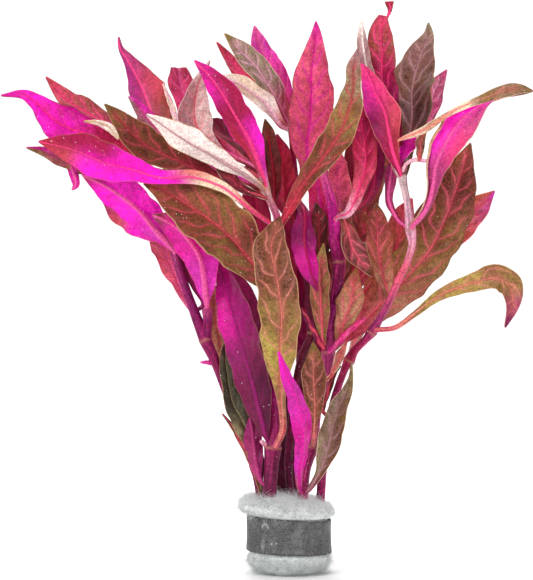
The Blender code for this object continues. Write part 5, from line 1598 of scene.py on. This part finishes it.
@dataclass
class FibreCoat:
    """Loose fibres grown on a piece by Geometry Nodes, but not between the bare heights.

    Each leans from its face's normal by lift to flattest degrees and sways by up to sway degrees.
    Bend and taper are shares of its length and thickness. Scales are the least and the greatest.
    """

    wool: Wool
    per_square_mm: float = 2.4
    length: float = 2.8
    thickness: float = 0.09
    lift: float = 40.0
    flattest: float = 92.0
    sway: float = 25.0
    bend: float = 0.4
    taper: float = 0.6
    scales: tuple[float, float] = (0.45, 1.15)
    seed: int = 7
    bare: tuple[float, float] = (5.9, 20.1)

    def tree(self, strand: bpy.types.Object, finish: bpy.types.Material) -> bpy.types.NodeTree:
        """Returns the node tree: strands scattered on the faces, lying nearly flat on them.

        Args:
            strand: The fibre that is repeated.
            finish: The fibres' material.

        Returns:
            The tree, with inputs for the density, the seed, the scales and the bare heights.
        """
        tree = bpy.data.node_groups.new("fibre_coat", "GeometryNodeTree")
        face = tree.interface
        face.new_socket("Geometry", in_out="INPUT", socket_type="NodeSocketGeometry")
        for label, kind in (
                ("Density", "Float"), ("Seed", "Int"), ("Shortest", "Float"), ("Longest", "Float"),
                ("Bare Above", "Float"), ("Bare Below", "Float")):
            face.new_socket(label, in_out="INPUT", socket_type="NodeSocket" + kind)
        face.new_socket("Geometry", in_out="OUTPUT", socket_type="NodeSocketGeometry")

        def add(kind: str, feeds: dict[str | int, Any], **settings: Any) -> Any:
            """Adds a node, feeds its sockets with values or outputs, and returns its outputs."""
            made = tree.nodes.new(kind)
            for key, value in settings.items():
                setattr(made, key, value)
            for key, value in feeds.items():
                if isinstance(value, bpy.types.NodeSocket):
                    tree.links.new(value, made.inputs[key])
                else:
                    made.inputs[key].default_value = value
            return made.outputs

        given = add("NodeGroupInput", {})
        spot = add("GeometryNodeInputPosition", {})[0]
        up = add("ShaderNodeSeparateXYZ", {0: spot})["Z"]
        under = add("FunctionNodeCompare", {0: up, 1: given["Bare Above"]},
                    data_type="FLOAT", operation="LESS_THAN")[0]
        over = add("FunctionNodeCompare", {0: up, 1: given["Bare Below"]},
                   data_type="FLOAT", operation="GREATER_THAN")[0]
        free = add("FunctionNodeBooleanMath", {0: under, 1: over}, operation="OR")[0]
        scatter = add("GeometryNodeDistributePointsOnFaces", {
            "Mesh": given["Geometry"], "Density": given["Density"], "Seed": given["Seed"],
            "Selection": free}, distribute_method="RANDOM")
        tilt = add("FunctionNodeRandomValue", {
            0: (math.radians(self.lift), 0.0, 0.0),
            1: (math.radians(self.flattest), math.radians(self.sway), math.tau),
            "Seed": given["Seed"]}, data_type="FLOAT_VECTOR")[0]
        scale = add("FunctionNodeRandomValue", {
            2: given["Shortest"], 3: given["Longest"], "Seed": given["Seed"]}, data_type="FLOAT")[1]
        placed = add("GeometryNodeInstanceOnPoints", {
            "Points": scatter["Points"], "Rotation": scatter["Rotation"], "Scale": scale,
            "Instance": add("GeometryNodeObjectInfo", {"Object": strand})["Geometry"]})
        turned = add("GeometryNodeRotateInstances", {
            "Instances": placed["Instances"],
            "Rotation": add("FunctionNodeEulerToRotation", {0: tilt})["Rotation"]})
        real = add("GeometryNodeRealizeInstances", {"Geometry": turned["Instances"]})
        dressed = add("GeometryNodeSetMaterial", {"Geometry": real["Geometry"], "Material": finish})
        add("NodeGroupOutput", {"Geometry": dressed["Geometry"]})
        return tree

    def strand(self) -> bpy.types.Object:
        """Returns one bent fibre that stands on its end, as a thin three-sided tube that tapers."""
        steps = 4
        points, faces = [], grid_faces(steps + 1, 3, closed=True)
        for step in range(steps + 1):
            share = step / steps
            bend = self.bend * share * share * self.length
            radius = self.thickness / 2 * (1 - self.taper * share)
            for corner in range(3):
                angle = math.tau * corner / 3
                points.append((
                    bend + radius * math.cos(angle), radius * math.sin(angle), share * self.length))
        faces.append((2, 1, 0))
        faces.append(tuple(3 * steps + corner for corner in range(3)))
        return make_piece(
            "fibre_strand", np.array(points), faces, self.wool.material(), sharp=180.0)

    @staticmethod
    def raise_to_floor(mesh: bpy.types.Mesh, strand_size: int) -> None:
        """Lifts each fibre that reaches through the floor, so that it starts on it."""
        spots = np.empty(len(mesh.vertices) * 3)
        mesh.vertices.foreach_get("co", spots)
        strands = spots.reshape(-1, strand_size, 3)
        strands[:, :, 2] -= np.minimum(strands[:, :, 2].min(axis=1), 0.0)[:, None]
        mesh.vertices.foreach_set("co", spots)
        mesh.update()

    def grow(self, carrier: bpy.types.Object, name: str) -> bpy.types.Object:
        """Returns the fibres on a carrier as one plain mesh object."""
        strand = self.strand()
        finish = strand.data.materials[0]
        bed = add_object(name + "_bed", carrier.data)
        grown = bed.modifiers.new("Fibres", "NODES")
        grown.node_group = self.tree(strand, finish)
        given = {
            "Density": self.per_square_mm / MM**2, "Seed": self.seed,
            "Shortest": self.scales[0], "Longest": self.scales[1],
            "Bare Above": self.bare[0] * MM, "Bare Below": self.bare[1] * MM}
        for item in grown.node_group.interface.items_tree:
            if item.in_out == "INPUT" and item.name in given:
                grown[item.identifier] = given[item.name]
        bpy.context.view_layer.update()
        graph = bpy.context.evaluated_depsgraph_get()
        mesh = bpy.data.meshes.new_from_object(bed.evaluated_get(graph))
        mesh.name = name
        self.raise_to_floor(mesh, len(strand.data.vertices))
        bed.modifiers.clear()
        bpy.data.objects.remove(bed)
        bpy.data.objects.remove(strand)
        return add_object(name, mesh)


@dataclass
class WeightStrip:
    """The soft metal strip bent round the plug, its ends nearly meeting at the back.

    Its edges are rounded over edge_round, are dark for edge_dark, and flare out a little.
    """

    radius: float = 13.6
    wall: float = 0.8
    half_turn: float = math.radians(174)
    steps: int = 240
    tall_steps: int = 18
    dent: float = 0.16
    small_dent: float = 0.07
    flare: float = 0.4
    ragged_top: float = 0.14
    ragged_foot: float = 0.12
    edge_round: float = 0.4
    edge_dark: float = 0.35

    def build(self) -> None:
        """Makes the strip as a sheet with a wall and rounded edges."""
        turns = np.linspace(-self.half_turn, self.half_turn, self.steps + 1)
        heights = np.linspace(0.0, 1.0, self.tall_steps + 1)
        outer, inner, places = [], [], []
        for turn in turns:
            sine, cosine = math.sin(turn), math.cos(turn)
            x = self.radius * sine
            top_noise = self.ragged_top * noise.noise(Vector((turn * 2.5, 0.0, 3.0)))
            foot_noise = self.ragged_foot * noise.noise(Vector((turn * 2.2, 5.0, 0.0)))
            top = STRIP_TOP + TOP_SLOPE * x + top_noise
            foot = STRIP_FOOT + FOOT_SLOPE * x + foot_noise
            for share in heights:
                up = foot + (top - foot) * share
                spot = Vector((turn * 1.9, share * 1.1, 0.4))
                dent = self.dent * noise.noise(spot) + self.small_dent * noise.noise(spot * 3.1)
                dent += self.flare * ((1 - share) ** 4 + 0.4 * share**6)
                edge = min(share, 1 - share) * (top - foot)
                inward = min(1.0, (edge + 0.06) / self.edge_round)
                rounded = 0.5 * self.wall * math.sqrt(1 - (1 - inward) ** 2)
                for side, wall in ((outer, rounded), (inner, -rounded)):
                    reach = self.radius + dent + wall
                    side.append((reach * sine, -reach * cosine, up))
                places.append((turn * self.radius, up, 1.0 if edge < self.edge_dark else 0.0))
        points = np.vstack([np.array(outer), np.array(inner)])
        faces = closed_faces(self.steps + 1, self.tall_steps + 1)
        faces = [tuple(reversed(face)) for face in faces]
        values = {"strip": np.array(places + places)}
        piece = make_piece(
            "weight_strip_bent", points, faces, WeightMetal().material(), values, sharp=50.0)
        settle(piece, "weight_strip", "weight_strip")


@dataclass(frozen=True)
class Lamp:
    """A soft square light: where it stands, its side, its power in watts and what it faces."""

    name: str
    place: Point
    size: float
    watts: float
    aim: Point = (-5.0, 0.0, 105.0)

    def build(self) -> None:
        """Makes the light."""
        lamp = bpy.data.lights.new(self.name, "AREA")
        lamp.shape = "SQUARE"
        lamp.size = self.size * MM
        lamp.energy = self.watts
        made = add_object(self.name, lamp)
        made.location = Vector(self.place) * MM
        made.rotation_mode = "QUATERNION"
        toward = Vector(self.aim) * MM - made.location
        made.rotation_quaternion = toward.to_track_quat("-Z", "Y")


LAMPS = (
    Lamp("light_front_left", (-520.0, -620.0, 480.0), 420.0, 5.5),
    Lamp("light_front_right", (560.0, -560.0, 260.0), 420.0, 2.6),
    Lamp("light_top", (0.0, 60.0, 760.0), 500.0, 2.2),
    Lamp("light_back", (-80.0, 520.0, 380.0), 420.0, 1.8),
    Lamp("light_backdrop", (0.0, 300.0, 900.0), 700.0, 4.6, (0.0, 900.0, 260.0)),
)


@dataclass
class Studio:
    """The pale floor that sweeps up behind, the lamps, the faint sky and the camera."""

    depth: float = 900.0
    front: float = -1500.0
    width: float = 2600.0
    bend: float = 350.0
    bend_steps: int = 12
    height: float = 1500.0
    sky: float = 0.22

    def sweep(self) -> None:
        """Makes the floor and backdrop as one sheet."""
        profile = [(self.front, 0.0), (self.depth - self.bend, 0.0)]
        for step in range(1, self.bend_steps + 1):
            turn = math.radians(90 * step / self.bend_steps)
            back = self.depth - self.bend + self.bend * math.sin(turn)
            profile.append((back, self.bend * (1 - math.cos(turn))))
        profile.append((self.depth, self.height))
        points = [(x, y, z) for y, z in profile for x in (-self.width, self.width)]
        floor = make_piece(
            "studio_sweep", np.array(points), grid_faces(len(profile), 2), Paper().material(),
            sharp=180.0)

    def camera(self) -> None:
        """Makes the camera at the eye, level, so that the bunch fills the frame as in the photo."""
        lens = bpy.data.cameras.new("camera")
        lens.sensor_width = SENSOR
        lens.lens = SENSOR * -EYE[1] / PHOTO_HEIGHT
        lens.clip_start, lens.clip_end = 10 * MM, 10000 * MM
        made = add_object("camera", lens)
        made.location = Vector(EYE) * MM
        made.rotation_euler = (math.radians(90), 0.0, 0.0)
        bpy.context.scene.camera = made

    def build(self) -> None:
        """Makes the whole studio."""
        self.camera()
        self.sweep()
        for lamp in LAMPS:
            lamp.build()
        world = bpy.context.scene.world or bpy.data.worlds.new("world")
        bpy.context.scene.world = world
        world.use_nodes = True
        sky = world.node_tree.nodes["Background"]
        sky.inputs["Color"].default_value = (1.0, 1.0, 1.0, 1.0)
        sky.inputs["Strength"].default_value = self.sky
        bpy.context.scene.view_settings.view_transform = "Standard"
        bpy.context.scene.view_settings.look = "None"


def weld(piece: bpy.types.Object, gap: float) -> None:
    """Joins a piece's vertices that lie closer than a gap, and drops the faces that this closes."""
    shape = bmesh.new()
    shape.from_mesh(piece.data)
    bmesh.ops.remove_doubles(shape, verts=shape.verts, dist=gap * MM)
    bmesh.ops.recalc_face_normals(shape, faces=shape.faces)
    shape.to_mesh(piece.data)
    shape.free()


def settle(piece: bpy.types.Object, slot: str, node: str | None = None) -> None:
    """Makes a piece ride on the one body, in place of a solid if it stands for one.

    Args:
        piece: The piece.
        slot: The record's material slot.
        node: The solid that it replaces.
    """
    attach(piece, BODY)
    if node:
        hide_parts(node)
    LOG.info("%s: %d faces in slot %s", piece.name, len(piece.data.polygons), slot)


def main() -> None:
    """Builds the bunch and the studio."""
    logging.basicConfig(level=logging.INFO, format="%(message)s")
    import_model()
    Studio().build()
    stems = Stems()
    stems.build()
    Foliage(stems).build()
    WoolPlug().build()
    WeightStrip().build()
    bpy.context.view_layer.update()


if __name__ == "__main__":
    main()
